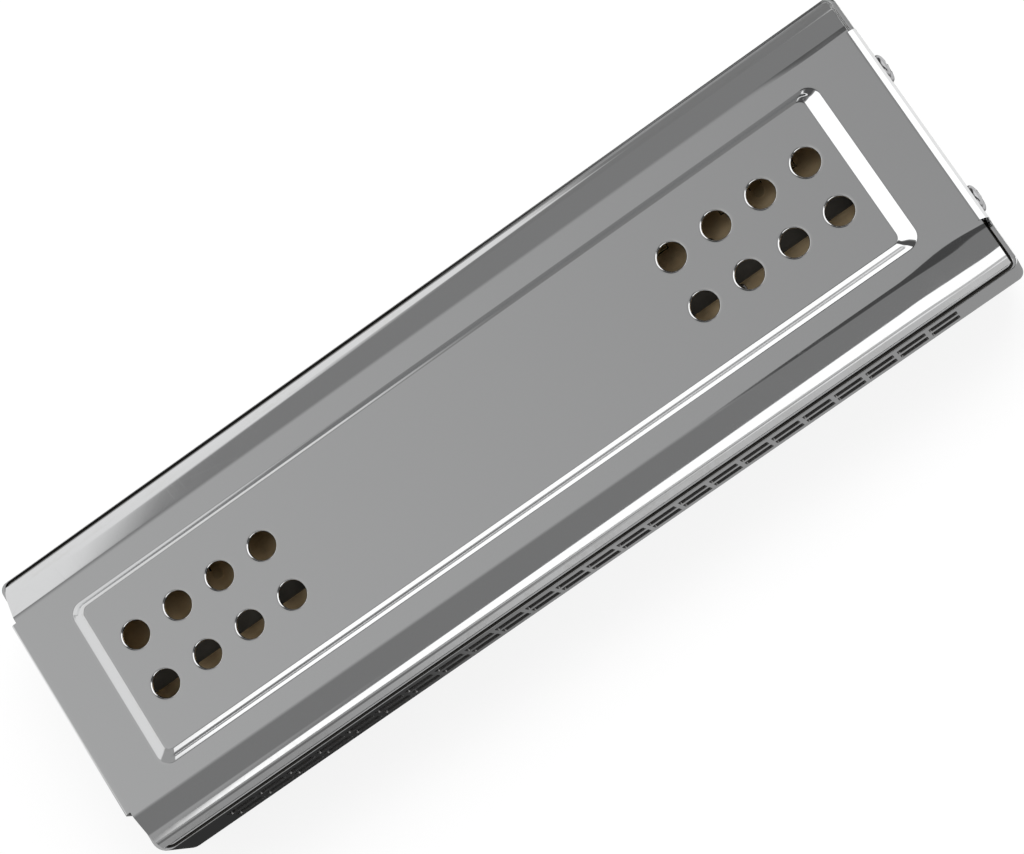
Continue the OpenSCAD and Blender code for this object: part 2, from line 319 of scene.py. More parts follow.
class SharedEffects:
    """Shader node groups for the effects that more than one finish uses, each made once."""

    def __init__(self) -> None:
        """Starts with no group made."""
        self._made: dict[Effect, bpy.types.NodeTree] = {}

    def use(self, nodes: Tree, effect: Effect, **values: Any) -> bpy.types.Node:
        """Places an effect in a material.

        Args:
            nodes: the material's tree.
            effect: which effect.
            values: a value or socket for each of its inputs.

        Returns:
            The group node.
        """
        if effect not in self._made:
            self._made[effect] = self._build(effect)
        node = nodes.add("Group")
        node.node_tree = self._made[effect]
        node.name = node.label = effect.value
        for name, value in values.items():
            nodes.feed(node.inputs[name], value)
        return node

    def _build(self, effect: Effect) -> bpy.types.NodeTree:
        """Makes the node group of one effect.

        Args:
            effect: which effect.

        Returns:
            The group.
        """
        makers: dict[Effect, Callable[[], bpy.types.NodeTree]] = {
            Effect.SCRATCHES: self._scratches,
            Effect.SMUDGES: self._smudges,
            Effect.WEAR: self._wear,
            Effect.GRAIN: self._grain,
            Effect.WAVES: self._waves,
            Effect.SPECKLE: self._speckle,
        }
        return makers[effect]()

    @staticmethod
    def _group(effect: Effect, inputs: dict[str, Optional[float]], outputs: Sequence[str]) -> tuple:
        """Makes an empty group with its sockets.

        Args:
            effect: the effect, which gives the group's name.
            inputs: name and default of each input, with None for a vector.
            outputs: names of the outputs, all numbers.

        Returns:
            The group, its Tree, its inputs' sockets and its output node.
        """
        tree = bpy.data.node_groups.new(effect.value, "ShaderNodeTree")
        for name, default in inputs.items():
            kind = "NodeSocketVector" if default is None else "NodeSocketFloat"
            socket = tree.interface.new_socket(name, in_out="INPUT", socket_type=kind)
            if default is not None:
                socket.default_value = default
        for name in outputs:
            tree.interface.new_socket(name, in_out="OUTPUT", socket_type="NodeSocketFloat")
        entry = tree.nodes.new("NodeGroupInput")
        leave = tree.nodes.new("NodeGroupOutput")
        return tree, Tree(tree), entry.outputs, leave

    def _scratches(self) -> bpy.types.NodeTree:
        """Hair-fine crossing scratches in patches, as wiping and handling leave them.

        Returns:
            The group.
        """
        defaults = {"Vector": None, "Scale": 260.0, "Width": 0.012, "Amount": 1.0}
        tree, nodes, given, leave = self._group(Effect.SCRATCHES, defaults, ("Mask", "Height"))
        total: Any = 0.0
        for turn, reach in ((12.0, 1.0), (-31.0, 1.7), (68.0, 1.3)):
            vector = nodes.stretched(given["Vector"], (0.06 * reach, 1.0 * reach, 0.3 * reach), turn)
            value = nodes.noise(vector, given["Scale"], 1.0)
            near = nodes.math("ABSOLUTE", nodes.math("SUBTRACT", value, 0.5))
            line = nodes.math("SUBTRACT", 1.0, nodes.math("DIVIDE", near, given["Width"]), clamp=True)
            patch = nodes.noise(vector, nodes.math("MULTIPLY", given["Scale"], 0.9), 2.0)
            total = nodes.math("ADD", total, nodes.math("MULTIPLY", line, nodes.step(patch, 0.5, 0.68)))
        mask = nodes.math("MULTIPLY", total, given["Amount"], clamp=True)
        nodes.feed(leave.inputs["Mask"], mask)
        nodes.feed(leave.inputs["Height"], nodes.math("SUBTRACT", 1.0, mask))
        return tree

    def _smudges(self) -> bpy.types.NodeTree:
        """Soft cloudy patches where hands and a cloth have been.

        Returns:
            The group.
        """
        defaults = {"Vector": None, "Scale": 45.0, "Amount": 1.0}
        tree, nodes, given, leave = self._group(Effect.SMUDGES, defaults, ("Mask",))
        cloud = nodes.noise(given["Vector"], given["Scale"], 4.0, 0.6)
        fine = nodes.noise(given["Vector"], nodes.math("MULTIPLY", given["Scale"], 9.0), 3.0, 0.7)
        both = nodes.math("ADD", nodes.math("MULTIPLY", cloud, 0.8), nodes.math("MULTIPLY", fine, 0.2))
        mask = nodes.math("MULTIPLY", nodes.step(both, 0.4, 0.72), given["Amount"], clamp=True)
        nodes.feed(leave.inputs["Mask"], mask)
        return tree

    def _wear(self) -> bpy.types.NodeTree:
        """Broken-up wear along the edges that the mesh marks.

        Returns:
            The group.
        """
        defaults = {"Vector": None, "Edge": 0.0, "Scale": 900.0, "Amount": 1.0}
        tree, nodes, given, leave = self._group(Effect.WEAR, defaults, ("Mask",))
        broken = nodes.step(nodes.noise(given["Vector"], given["Scale"], 3.0, 0.65), 0.35, 0.62)
        spots = nodes.step(nodes.noise(given["Vector"], 120.0, 2.0), 0.3, 0.6)
        mask = nodes.math("MULTIPLY", nodes.math("MULTIPLY", broken, spots), given["Edge"])
        nodes.feed(leave.inputs["Mask"], nodes.math("MULTIPLY", mask, given["Amount"], clamp=True))
        return tree

    def _grain(self) -> bpy.types.NodeTree:
        """Fine parallel grain along X, as rolling or milling leaves it.

        Returns:
            The group.
        """
        defaults = {"Vector": None, "Scale": 2400.0, "Stretch": 0.02}
        tree, nodes, given, leave = self._group(Effect.GRAIN, defaults, ("Mask", "Height"))
        parts = nodes.add("SeparateXYZ", {0: given["Vector"]})
        along = nodes.math("MULTIPLY", parts.outputs[0], given["Stretch"])
        vector = nodes.add("CombineXYZ", {0: along, 1: parts.outputs[1], 2: parts.outputs[2]}).outputs[0]
        fine = nodes.noise(vector, given["Scale"], 3.0, 0.6)
        broad = nodes.noise(vector, nodes.math("MULTIPLY", given["Scale"], 0.12), 2.0)
        value = nodes.math("ADD", nodes.math("MULTIPLY", fine, 0.6), nodes.math("MULTIPLY", broad, 0.4))
        nodes.feed(leave.inputs["Mask"], nodes.step(value, 0.35, 0.65))
        nodes.feed(leave.inputs["Height"], value)
        return tree

    def _waves(self) -> bpy.types.NodeTree:
        """The slow unevenness of a pressed and buffed sheet, with a faint orange peel.

        Returns:
            The group.
        """
        defaults = {"Vector": None, "Scale": 22.0, "Peel": 0.06}
        tree, nodes, given, leave = self._group(Effect.WAVES, defaults, ("Height",))
        slow = nodes.noise(given["Vector"], given["Scale"], 1.0, 0.4)
        peel = nodes.noise(given["Vector"], nodes.math("MULTIPLY", given["Scale"], 30.0), 1.0)
        height = nodes.math("ADD", slow, nodes.math("MULTIPLY", peel, given["Peel"]))
        nodes.feed(leave.inputs["Height"], height)
        return tree

    def _speckle(self) -> bpy.types.NodeTree:
        """Flow marks and tiny pits of a moulded surface.

        Returns:
            The group.
        """
        defaults = {"Vector": None, "Scale": 3200.0}
        tree, nodes, given, leave = self._group(Effect.SPECKLE, defaults, ("Mask", "Flow", "Height"))
        pits = nodes.noise(given["Vector"], given["Scale"], 2.0)
        flow = nodes.noise(nodes.stretched(given["Vector"], (0.5, 1.0, 2.2)), 90.0, 4.0, 0.6)
        nodes.feed(leave.inputs["Mask"], nodes.step(pits, 0.55, 0.75))
        nodes.feed(leave.inputs["Flow"], nodes.step(flow, 0.3, 0.7))
        nodes.feed(leave.inputs["Height"], pits)
        return tree


def new_material(name: str) -> tuple[bpy.types.Material, Tree, bpy.types.Node, Any]:
    """Makes a material with a Principled BSDF.

    Args:
        name: the material's name.

    Returns:
        The material, its Tree, its shader and the object coordinates' socket.
    """
    material = bpy.data.materials.new(name)
    material.use_nodes = True
    material.node_tree.nodes.clear()
    nodes = Tree(material.node_tree)
    shader = nodes.add("BsdfPrincipled")
    nodes.add("OutputMaterial", {"Surface": shader.outputs[0]})
    place = nodes.add("TexCoord").outputs["Object"]
    return material, nodes, shader, place


@dataclass(frozen=True)
class PolishedChrome:
    """Bright plating over a buffed sheet."""

    colour: Colour = (0.86, 0.865, 0.87, 1.0)
    worn: Colour = (0.74, 0.73, 0.7, 1.0)
    # Colour of the painted shade in seams and recesses, and the roughness added where it is painted.
    grime: Colour = (0.1, 0.095, 0.088, 1.0)
    roughness: float = 0.05
    smudge: float = 0.05
    scratch: float = 0.1
    worn_rough: float = 0.12
    grime_rough: float = 0.4
    wave_depth: float = 0.00003
    scratch_depth: float = 0.000002
    scratch_show: float = 0.35

    def build(self, name: str, effects: SharedEffects) -> bpy.types.Material:
        """Makes the material.

        Args:
            name: the material's name.
            effects: the shared effects.

        Returns:
            The material.
        """
        material, nodes, shader, place = new_material(name)
        edge, grime = nodes.attribute(WEAR), nodes.attribute(RECESS_SHADE)
        wear = effects.use(nodes, Effect.WEAR, Vector=place, Edge=edge, Amount=0.7).outputs["Mask"]
        smudge = effects.use(nodes, Effect.SMUDGES, Vector=place, Scale=38.0).outputs["Mask"]
        lines = effects.use(nodes, Effect.SCRATCHES, Vector=place, Scale=300.0, Width=0.006, Amount=0.6)
        waves = effects.use(nodes, Effect.WAVES, Vector=place, Scale=24.0, Peel=0.01)
        worn = nodes.tint(wear, self.colour, self.worn)
        nodes.feed(shader.inputs["Metallic"], 1.0)
        # Painted shade darkens the colour where the mesh marks it.
        nodes.feed(shader.inputs["Base Color"], nodes.tint(grime, worn, self.grime))
        rough = nodes.math("MULTIPLY_ADD", smudge, self.smudge, self.roughness)
        rough = nodes.math("MULTIPLY_ADD", grime, self.grime_rough, rough)
        rough = nodes.math("MULTIPLY_ADD", lines.outputs["Mask"], self.scratch, rough)
        rough = nodes.math("MULTIPLY_ADD", wear, self.worn_rough, rough)
        nodes.feed(shader.inputs["Roughness"], rough)
        sheet = nodes.bump(waves.outputs["Height"], 1.0, self.wave_depth)
        fine = nodes.bump(lines.outputs["Height"], self.scratch_show, self.scratch_depth, sheet)
        nodes.feed(shader.inputs["Normal"], fine)
        return material


@dataclass(frozen=True)
class RolledBrass:
    """Brass sheet or strip with grain, light tarnish and fine scratches."""

    colour: Colour = (0.95, 0.74, 0.46, 1.0)
    tarnish: Colour = (0.74, 0.52, 0.28, 1.0)
    roughness: float = 0.33
    grain_scale: float = 2400.0
    grain_tarnish: float = 0.16
    grain_rough: float = 0.08
    grain_depth: float = 0.00001
    tarnish_amount: float = 0.5
    tarnish_rough: float = 0.22
    scratch_depth: float = 0.000006
    relief_show: float = 0.5

    def build(self, name: str, effects: SharedEffects) -> bpy.types.Material:
        """Makes the material.

        Args:
            name: the material's name.
            effects: the shared effects.

        Returns:
            The material.
        """
        material, nodes, shader, place = new_material(name)
        grain = effects.use(nodes, Effect.GRAIN, Vector=place, Scale=self.grain_scale)
        patch = effects.use(nodes, Effect.SMUDGES, Vector=place, Scale=110.0, Amount=self.tarnish_amount)
        lines = effects.use(nodes, Effect.SCRATCHES, Vector=place, Scale=520.0, Width=0.014)
        base = nodes.tint(patch.outputs["Mask"], self.colour, self.tarnish)
        deep = nodes.math("MULTIPLY", grain.outputs["Mask"], self.grain_tarnish)
        nodes.feed(shader.inputs["Base Color"], nodes.tint(deep, base, self.tarnish))
        nodes.feed(shader.inputs["Metallic"], 1.0)
        rough = nodes.math("MULTIPLY_ADD", patch.outputs["Mask"], self.tarnish_rough, self.roughness)
        rough = nodes.math("MULTIPLY_ADD", grain.outputs["Mask"], self.grain_rough, rough)
        nodes.feed(shader.inputs["Roughness"], rough)
        coarse = nodes.bump(grain.outputs["Height"], self.relief_show, self.grain_depth)
        fine = nodes.bump(lines.outputs["Height"], self.relief_show, self.scratch_depth, coarse)
        nodes.feed(shader.inputs["Normal"], fine)
        return material


@dataclass(frozen=True)
class MouldedPlastic:
    """Satin black plastic of the comb."""

    colour: Colour = (0.036, 0.033, 0.028, 1.0)
    flow: Colour = (0.052, 0.047, 0.038, 1.0)
    dust: Colour = (0.16, 0.15, 0.135, 1.0)
    roughness: float = 0.42
    pit_rough: float = 0.15
    dust_rough: float = 0.3
    pit_depth: float = 0.00002
    pit_show: float = 0.4

    def build(self, name: str, effects: SharedEffects) -> bpy.types.Material:
        """Makes the material.

        Args:
            name: the material's name.
            effects: the shared effects.

        Returns:
            The material.
        """
        material, nodes, shader, place = new_material(name)
        speckle = effects.use(nodes, Effect.SPECKLE, Vector=place)
        patch = effects.use(nodes, Effect.SMUDGES, Vector=place, Scale=160.0, Amount=0.22)
        base = nodes.tint(speckle.outputs["Flow"], self.colour, self.flow)
        nodes.feed(shader.inputs["Base Color"], nodes.tint(patch.outputs["Mask"], base, self.dust))
        rough = nodes.math("MULTIPLY_ADD", speckle.outputs["Mask"], self.pit_rough, self.roughness)
        rough = nodes.math("MULTIPLY_ADD", patch.outputs["Mask"], self.dust_rough, rough)
        nodes.feed(shader.inputs["Roughness"], rough)
        relief = nodes.bump(speckle.outputs["Height"], self.pit_show, self.pit_depth)
        nodes.feed(shader.inputs["Normal"], relief)
        return material


@dataclass(frozen=True)
class TurnedSteel:
    """Bright plated steel of the screws."""

    colour: Colour = (0.5, 0.5, 0.51, 1.0)
    dull: Colour = (0.24, 0.235, 0.225, 1.0)
    # Colour of the painted shade in the cross recesses.
    grime: Colour = (0.05, 0.048, 0.045, 1.0)
    roughness: float = 0.16
    dull_share: float = 0.5
    dull_rough: float = 0.2
    scratch_depth: float = 0.000004
    scratch_show: float = 0.4

    def build(self, name: str, effects: SharedEffects) -> bpy.types.Material:
        """Makes the material.

        Args:
            name: the material's name.
            effects: the shared effects.

        Returns:
            The material.
        """
        material, nodes, shader, place = new_material(name)
        edge, grime = nodes.attribute(WEAR), nodes.attribute(RECESS_SHADE)
        wear = effects.use(nodes, Effect.WEAR, Vector=place, Edge=edge, Scale=2500.0).outputs["Mask"]
        patch = effects.use(nodes, Effect.SMUDGES, Vector=place, Scale=400.0, Amount=0.6).outputs["Mask"]
        lines = effects.use(nodes, Effect.SCRATCHES, Vector=place, Scale=2600.0, Width=0.02)
        base = nodes.tint(nodes.math("MULTIPLY", patch, self.dull_share), self.colour, self.dull)
        worn = nodes.tint(wear, base, self.dull)
        # Painted shade darkens the recesses that the mesh marks.
        nodes.feed(shader.inputs["Base Color"], nodes.tint(grime, worn, self.grime))
        nodes.feed(shader.inputs["Metallic"], 1.0)
        rough = nodes.math("MULTIPLY_ADD", patch, self.dull_rough, self.roughness)
        nodes.feed(shader.inputs["Roughness"], rough)
        relief = nodes.bump(lines.outputs["Height"], self.scratch_show, self.scratch_depth)
        nodes.feed(shader.inputs["Normal"], relief)
        return material


class Finishes:
    """All materials of the instrument, made once."""

    def __init__(self) -> None:
        """Makes the materials."""
        effects = SharedEffects()
        self.cover = PolishedChrome().build("Cover_chrome", effects)
        self.mouth = PolishedChrome(roughness=0.07, scratch=0.16).build("Mouthpiece_chrome", effects)
        self.plate = RolledBrass().build("Plate_brass", effects)
        self.reed = RolledBrass(colour=(0.9, 0.74, 0.46, 1.0), roughness=0.3, grain_scale=3600.0,
                                tarnish_amount=0.3).build("Reed_brass", effects)
        self.rivet = RolledBrass(colour=(0.8, 0.64, 0.4, 1.0), roughness=0.3).build("Rivet_brass", effects)
        self.comb = MouldedPlastic().build("Comb_plastic", effects)
        self.screw = TurnedSteel().build("Screw_steel", effects)


def quarter_turns(steps: int) -> list[float]:
    """Angles from 0 to a quarter turn in equal steps, in radians."""
    return [math.radians(90 * k / steps) for k in range(steps + 1)]


def circle(x: float, y: float, radius: float, sides: int) -> list[Flat]:
    """Points round a circle, counter-clockwise from its right side."""
    turns = [math.tau * k / sides for k in range(sides)]
    return [(x + radius * math.cos(turn), y + radius * math.sin(turn)) for turn in turns]


def flat_face(bm: Mesh, points: Iterable[Point]) -> Face:
    """Adds a flat face with points of its own."""
    return bm.faces.new([bm.verts.new(point) for point in points])


def join_rows(bm: Mesh, rows: Sequence[Sequence[Vert]], closed: bool = True) -> list[Face]:
    """Joins rows of points with faces.

    Args:
        bm: the mesh.
        rows: rows with equally many points.
        closed: whether each row runs round to its start.

    Returns:
        The new faces.
    """
    faces = []
    for low, high in zip(rows, rows[1:]):
        count = len(low)
        for k in range(count if closed else count - 1):
            n = (k + 1) % count
            faces.append(bm.faces.new((low[k], low[n], high[n], high[k])))
    return faces


def fill_between(bm: Mesh, loops: Iterable[Sequence[Vert]], **choices: Any) -> None:
    """Fills a flat area between an outline and the holes in it.

    Args:
        bm: the mesh.
        loops: the outline and the holes.
        choices: further settings of the fill.
    """
    edges = []
    for loop in loops:
        for k, vertex in enumerate(loop):
            pair = (vertex, loop[(k + 1) % len(loop)])
            edges.append(bm.edges.get(pair) or bm.edges.new(pair))
    bmesh.ops.triangle_fill(bm, use_beauty=True, use_dissolve=False, edges=edges, **choices)


def mark(bm: Mesh, layer_name: str, faces: Iterable[Face], amount: float) -> None:
    """Marks faces as worn, or paints shade on them.

    Args:
        bm: the mesh.
        layer_name: which of the two.
        faces: the faces.
        amount: how much, from 0 to 1.
    """
    layer = bm.loops.layers.float.get(layer_name)
    for face in faces:
        for loop in face.loops:
            loop[layer] = amount


class Skin:
    """Surface of a pressed sheet: each point has an outer place, an inner place and its share of wear."""

    def __init__(self) -> None:
        """Starts an empty surface."""
        self.bm = bmesh.new()
        self.layer = self.bm.verts.layers.float.new(WEAR)
        self.inner: dict[Vert, Vector] = {}

    def point(self, outer: Sequence[float], inner: Sequence[float], wear: float = 0.0) -> Vert:
        """Adds a point.

        Args:
            outer: its place on the outer face.
            inner: its place on the inner face.
            wear: how exposed it is to wear, from 0 to 1.

        Returns:
            The vertex on the outer face.
        """
        vertex = self.bm.verts.new(outer)
        self.inner[vertex] = Vector(inner)
        vertex[self.layer] = wear
        return vertex

    def close(self) -> Mesh:
        """Adds the inner face and the rims, so that the sheet has its thickness.

        Returns:
            The closed mesh, with its wear stored on the points.
        """
        outer_faces = list(self.bm.faces)
        rims = [edge for edge in self.bm.edges if edge.is_boundary]
        used = {vertex: place for vertex, place in self.inner.items() if vertex.link_faces}
        twins = {vertex: self.bm.verts.new(place) for vertex, place in used.items()}
        for face in outer_faces:
            self.bm.faces.new([twins[v] for v in reversed(face.verts)])
        for edge in rims:
            first, second = edge.verts
            self.bm.faces.new((first, second, twins[second], twins[first]))
        bmesh.ops.recalc_face_normals(self.bm, faces=self.bm.faces)
        return self.bm


@dataclass(frozen=True)
class Dress:
    """What a new piece needs besides its mesh."""

    body: str
    replaces: tuple[str, ...]
    slot: str
    material: bpy.types.Material
    smooth_angle: float = 40.0


def flatten(piece: bpy.types.Object, weight: int = 50) -> None:
    """Keeps a piece's flat faces flat beside its rounded edges.

    Args:
        piece: the piece.
        weight: how far the larger faces win, 50 for not at all.
    """
    weigh = piece.modifiers.new("Flat faces stay flat", "WEIGHTED_NORMAL")
    weigh.mode = "FACE_AREA"
    weigh.weight = weight
    weigh.keep_sharp = True


def place_piece(name: str, mesh_in_mm: Mesh, where: Matrix, dress: Dress) -> bpy.types.Object:
    """Turns a drawn mesh into a piece of the instrument.

    Args:
        name: the piece's name.
        mesh_in_mm: its mesh, which is freed.
        where: matrix from the drawing to the frame.
        dress: its body, nodes and material; its slot is not used.

    Returns:
        The new object.
    """
    mesh_in_mm.transform(where)
    mesh_in_mm.normal_update()
    bmesh.ops.recalc_face_normals(mesh_in_mm, faces=mesh_in_mm.faces)
    for face in mesh_in_mm.faces:
        face.smooth = True
    limit = math.radians(dress.smooth_angle)
    for edge in mesh_in_mm.edges:
        edge.smooth = len(edge.link_faces) == 2 and edge.calc_face_angle(0.0) < limit
    mesh = bpy.data.meshes.new(name)
    mesh_in_mm.to_mesh(mesh)
    mesh_in_mm.free()
    mesh.materials.append(dress.material)
    piece = bpy.data.objects.new(name, mesh)
    bpy.context.scene.collection.objects.link(piece)
    flatten(piece, weight=80)
    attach(piece, dress.body)
    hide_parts(*dress.replaces)
    return piece


def worn_mesh() -> Mesh:
    """Makes an empty mesh whose faces can be marked as worn or painted with shade.

    Returns:
        The mesh.
    """
    bm = bmesh.new()
    bm.loops.layers.float.new(WEAR)
    bm.loops.layers.float.new(RECESS_SHADE)
    return bm


def round_edges(bm: Mesh, edges: Iterable[Edge], width: float, segments: int) -> list[Face]:
    """Rounds edges.

    Args:
        bm: the mesh.
        edges: the edges to round.
        width: width of the rounding.
        segments: number of faces across it.

    Returns:
        The new faces.
    """
    made = bmesh.ops.bevel(
        bm, geom=list(edges), offset=width, segments=segments, profile=0.5, affect="EDGES", clamp_overlap=True
    )
    return made["faces"]


def soften(bm: Mesh, edges: Iterable[Edge], width: float, segments: int = 2) -> None:
    """Rounds edges and marks the new faces as worn.

    Args:
        bm: the mesh.
        edges: the edges to round.
        width: width of the rounding.
        segments: number of faces across it.
    """
    made = round_edges(bm, edges, width, segments)
    mark(bm, WEAR, made, 1.0)


def pressed_step(rise: float, run: float, tilts: Sequence[Flat], steps: int = 22) -> list[Flat]:
    """A pressed step from one flat down to another, drawn from how steep it is along its way.

    Args:
        rise: height of the step.
        run: its width.
        tilts: pairs of the share of the way and the tilt there in degrees.
        steps: number of parts it is drawn in.

    Returns:
        Points (distance outwards, drop) from the step's top to its foot.
    """
    drops = [0.0]
    for k in range(steps):
        share = (k + 0.5) / steps
        for (first, low), (last, high) in zip(tilts, tilts[1:]):
            if first <= share <= last:
                blend = (1 - math.cos(math.pi * (share - first) / (last - first))) / 2
                tilt = low + (high - low) * blend
        drops.append(drops[-1] + math.tan(math.radians(tilt)))
    return [(run * k / steps, rise * drop / drops[-1]) for k, drop in enumerate(drops)]


def rounded_ring(half_x: float, half_y: float, radius: float, steps: int = 10) -> list[Flat]:
    """Points round a rectangle with round corners, counter-clockwise from its right side.

    Args:
        half_x: half its length.
        half_y: half its depth.
        radius: radius of its corners.
        steps: number of steps round a corner.

    Returns:
        The points.
    """
    points = []
    for quarter, (sx, sy) in enumerate(((1, 1), (-1, 1), (-1, -1), (1, -1))):
        for k in range(steps + 1):
            angle = math.radians(90.0 * (quarter + k / steps))
            points.append((
                sx * (half_x - radius) + radius * math.cos(angle),
                sy * (half_y - radius) + radius * math.sin(angle),
            ))
    return points


@dataclass(frozen=True)
class Skirt:
    """Cross-section of the cover's skirt, walked outwards from the fold."""

    slope_angle: float = 27.0
    slope_crown: float = 0.8
    slope_length: float = 3.6
    cad_fold: float = 2.4
    fold_swell: float = 3.2
    fold_pull: float = 0.4
    rear_share: float = 0.15
    swell_from: float = 72.0
    swell_to: float = 93.0
    brow_radius: float = 5.9
    brow_angle: float = 58.0
    cove_radius: float = 1.5
    lip_angle: float = 53.0
    lip_width: float = 1.35
    fold_steps: int = 7
    slope_steps: int = 8
    brow_steps: int = 14
    cove_steps: int = 4

    def swell_at(self, x: float, side: Side) -> float:
        """How far the fold is opened: the press let it go towards the right end.

        Args:
            x: the place along the length.
            side: which skirt.

        Returns:
            The opening, from 0 to 1.
        """
        share = min(1.0, max(0.0, (x - self.swell_from) / (self.swell_to - self.swell_from)))
        swell = math.sin(math.pi * share) ** 2
        return swell * (1.0 if side is Side.FRONT else self.rear_share)

    @staticmethod
    def _bend(start: Point, radius: float, to: float, steps: int) -> list[Point]:
        """Walks round an arc to a new angle below level.

        Args:
            start: the point (u, z, angle) that it starts from.
            radius: radius of the arc.
            to: the new angle in degrees.
            steps: number of parts it is drawn in.

        Returns:
            The points (u, z, angle) after the start.
        """
        u, z, angle = start
        way = 1.0 if to > angle else -1.0
        first = math.radians(angle)
        points = []
        for k in range(1, steps + 1):
            turn = math.radians(angle + (to - angle) * k / steps)
            points.append((
                u + way * radius * (math.sin(turn) - math.sin(first)),
                z - way * radius * (math.cos(first) - math.cos(turn)),
                math.degrees(turn),
            ))
        return points

    @staticmethod
    def _ahead(start: Point, length: float) -> Point:
        """Walks straight on from a point (u, z, angle)."""
        turn = math.radians(start[2])
        return start[0] + length * math.cos(turn), start[1] - length * math.sin(turn), start[2]

    def walk(self, x: float, side: Side) -> list[Point]:
        """Points (u, z, angle) of the skirt's outer face at one place along the length.

        Args:
            x: the place along the length.
            side: which skirt.

        Returns:
            The points from the fold's start to the lip's edge, u from the fold and z from the flat top.
        """
        swell = self.swell_at(x, side)
        level, first = math.radians(self.slope_angle), math.radians(self.slope_angle - self.slope_crown)
        cad_corner = self.cad_fold * math.tan(level / 2)
        corner = cad_corner - self.fold_pull * swell
        fold = self.cad_fold + self.fold_swell * swell
        reach = fold * math.sin(first) - fold * (1 - math.cos(first)) / math.tan(level)
        start: Point = (corner - reach, 0.0, 0.0)
        points = [start] + self._bend(start, fold, self.slope_angle - self.slope_crown, self.fold_steps)
        foot_u = cad_corner + (cad_corner + self.slope_length) * math.cos(level)
        foot: Point = (foot_u, -(foot_u - corner) * math.tan(level), self.slope_angle + self.slope_crown)
        points += self._crowned(points[-1], foot, self.slope_steps)
        rest = self._bend(points[-1], self.brow_radius, self.brow_angle, self.brow_steps)
        rest += self._bend(rest[-1], self.cove_radius, self.lip_angle, self.cove_steps)
        rest.append(self._ahead(rest[-1], self.lip_width))
        drop = self.fold_pull * swell * math.tan(level)
        squash = 1 - drop / (foot[1] - rest[-1][1])
        for u, z, angle in rest:
            turn = math.degrees(math.atan(math.tan(math.radians(angle)) * squash))
            points.append((u, foot[1] + (z - foot[1]) * squash, turn))
        return points

    @staticmethod
    def _crowned(start: Point, end: Point, steps: int) -> list[Point]:
        """Walks a gently crowned line between two points, keeping both angles.

        Args:
            start: the first point (u, z, angle).
            end: the last point.
            steps: number of parts it is drawn in.

        Returns:
            The points (u, z, angle) after the start.
        """
        span = math.hypot(end[0] - start[0], end[1] - start[1])
        pull = [(p[0], p[1], span * math.cos(math.radians(p[2])), -span * math.sin(math.radians(p[2])))
                for p in (start, end)]
        points = []
        for k in range(1, steps + 1):
            t = k / steps
            a, b = 2 * t**3 - 3 * t**2 + 1, t**3 - 2 * t**2 + t
            c, d = -2 * t**3 + 3 * t**2, t**3 - t**2
            u = a * pull[0][0] + b * pull[0][2] + c * pull[1][0] + d * pull[1][2]
            z = a * pull[0][1] + b * pull[0][3] + c * pull[1][1] + d * pull[1][3]
            points.append((u, z, start[2] + (end[2] - start[2]) * t))
        return points


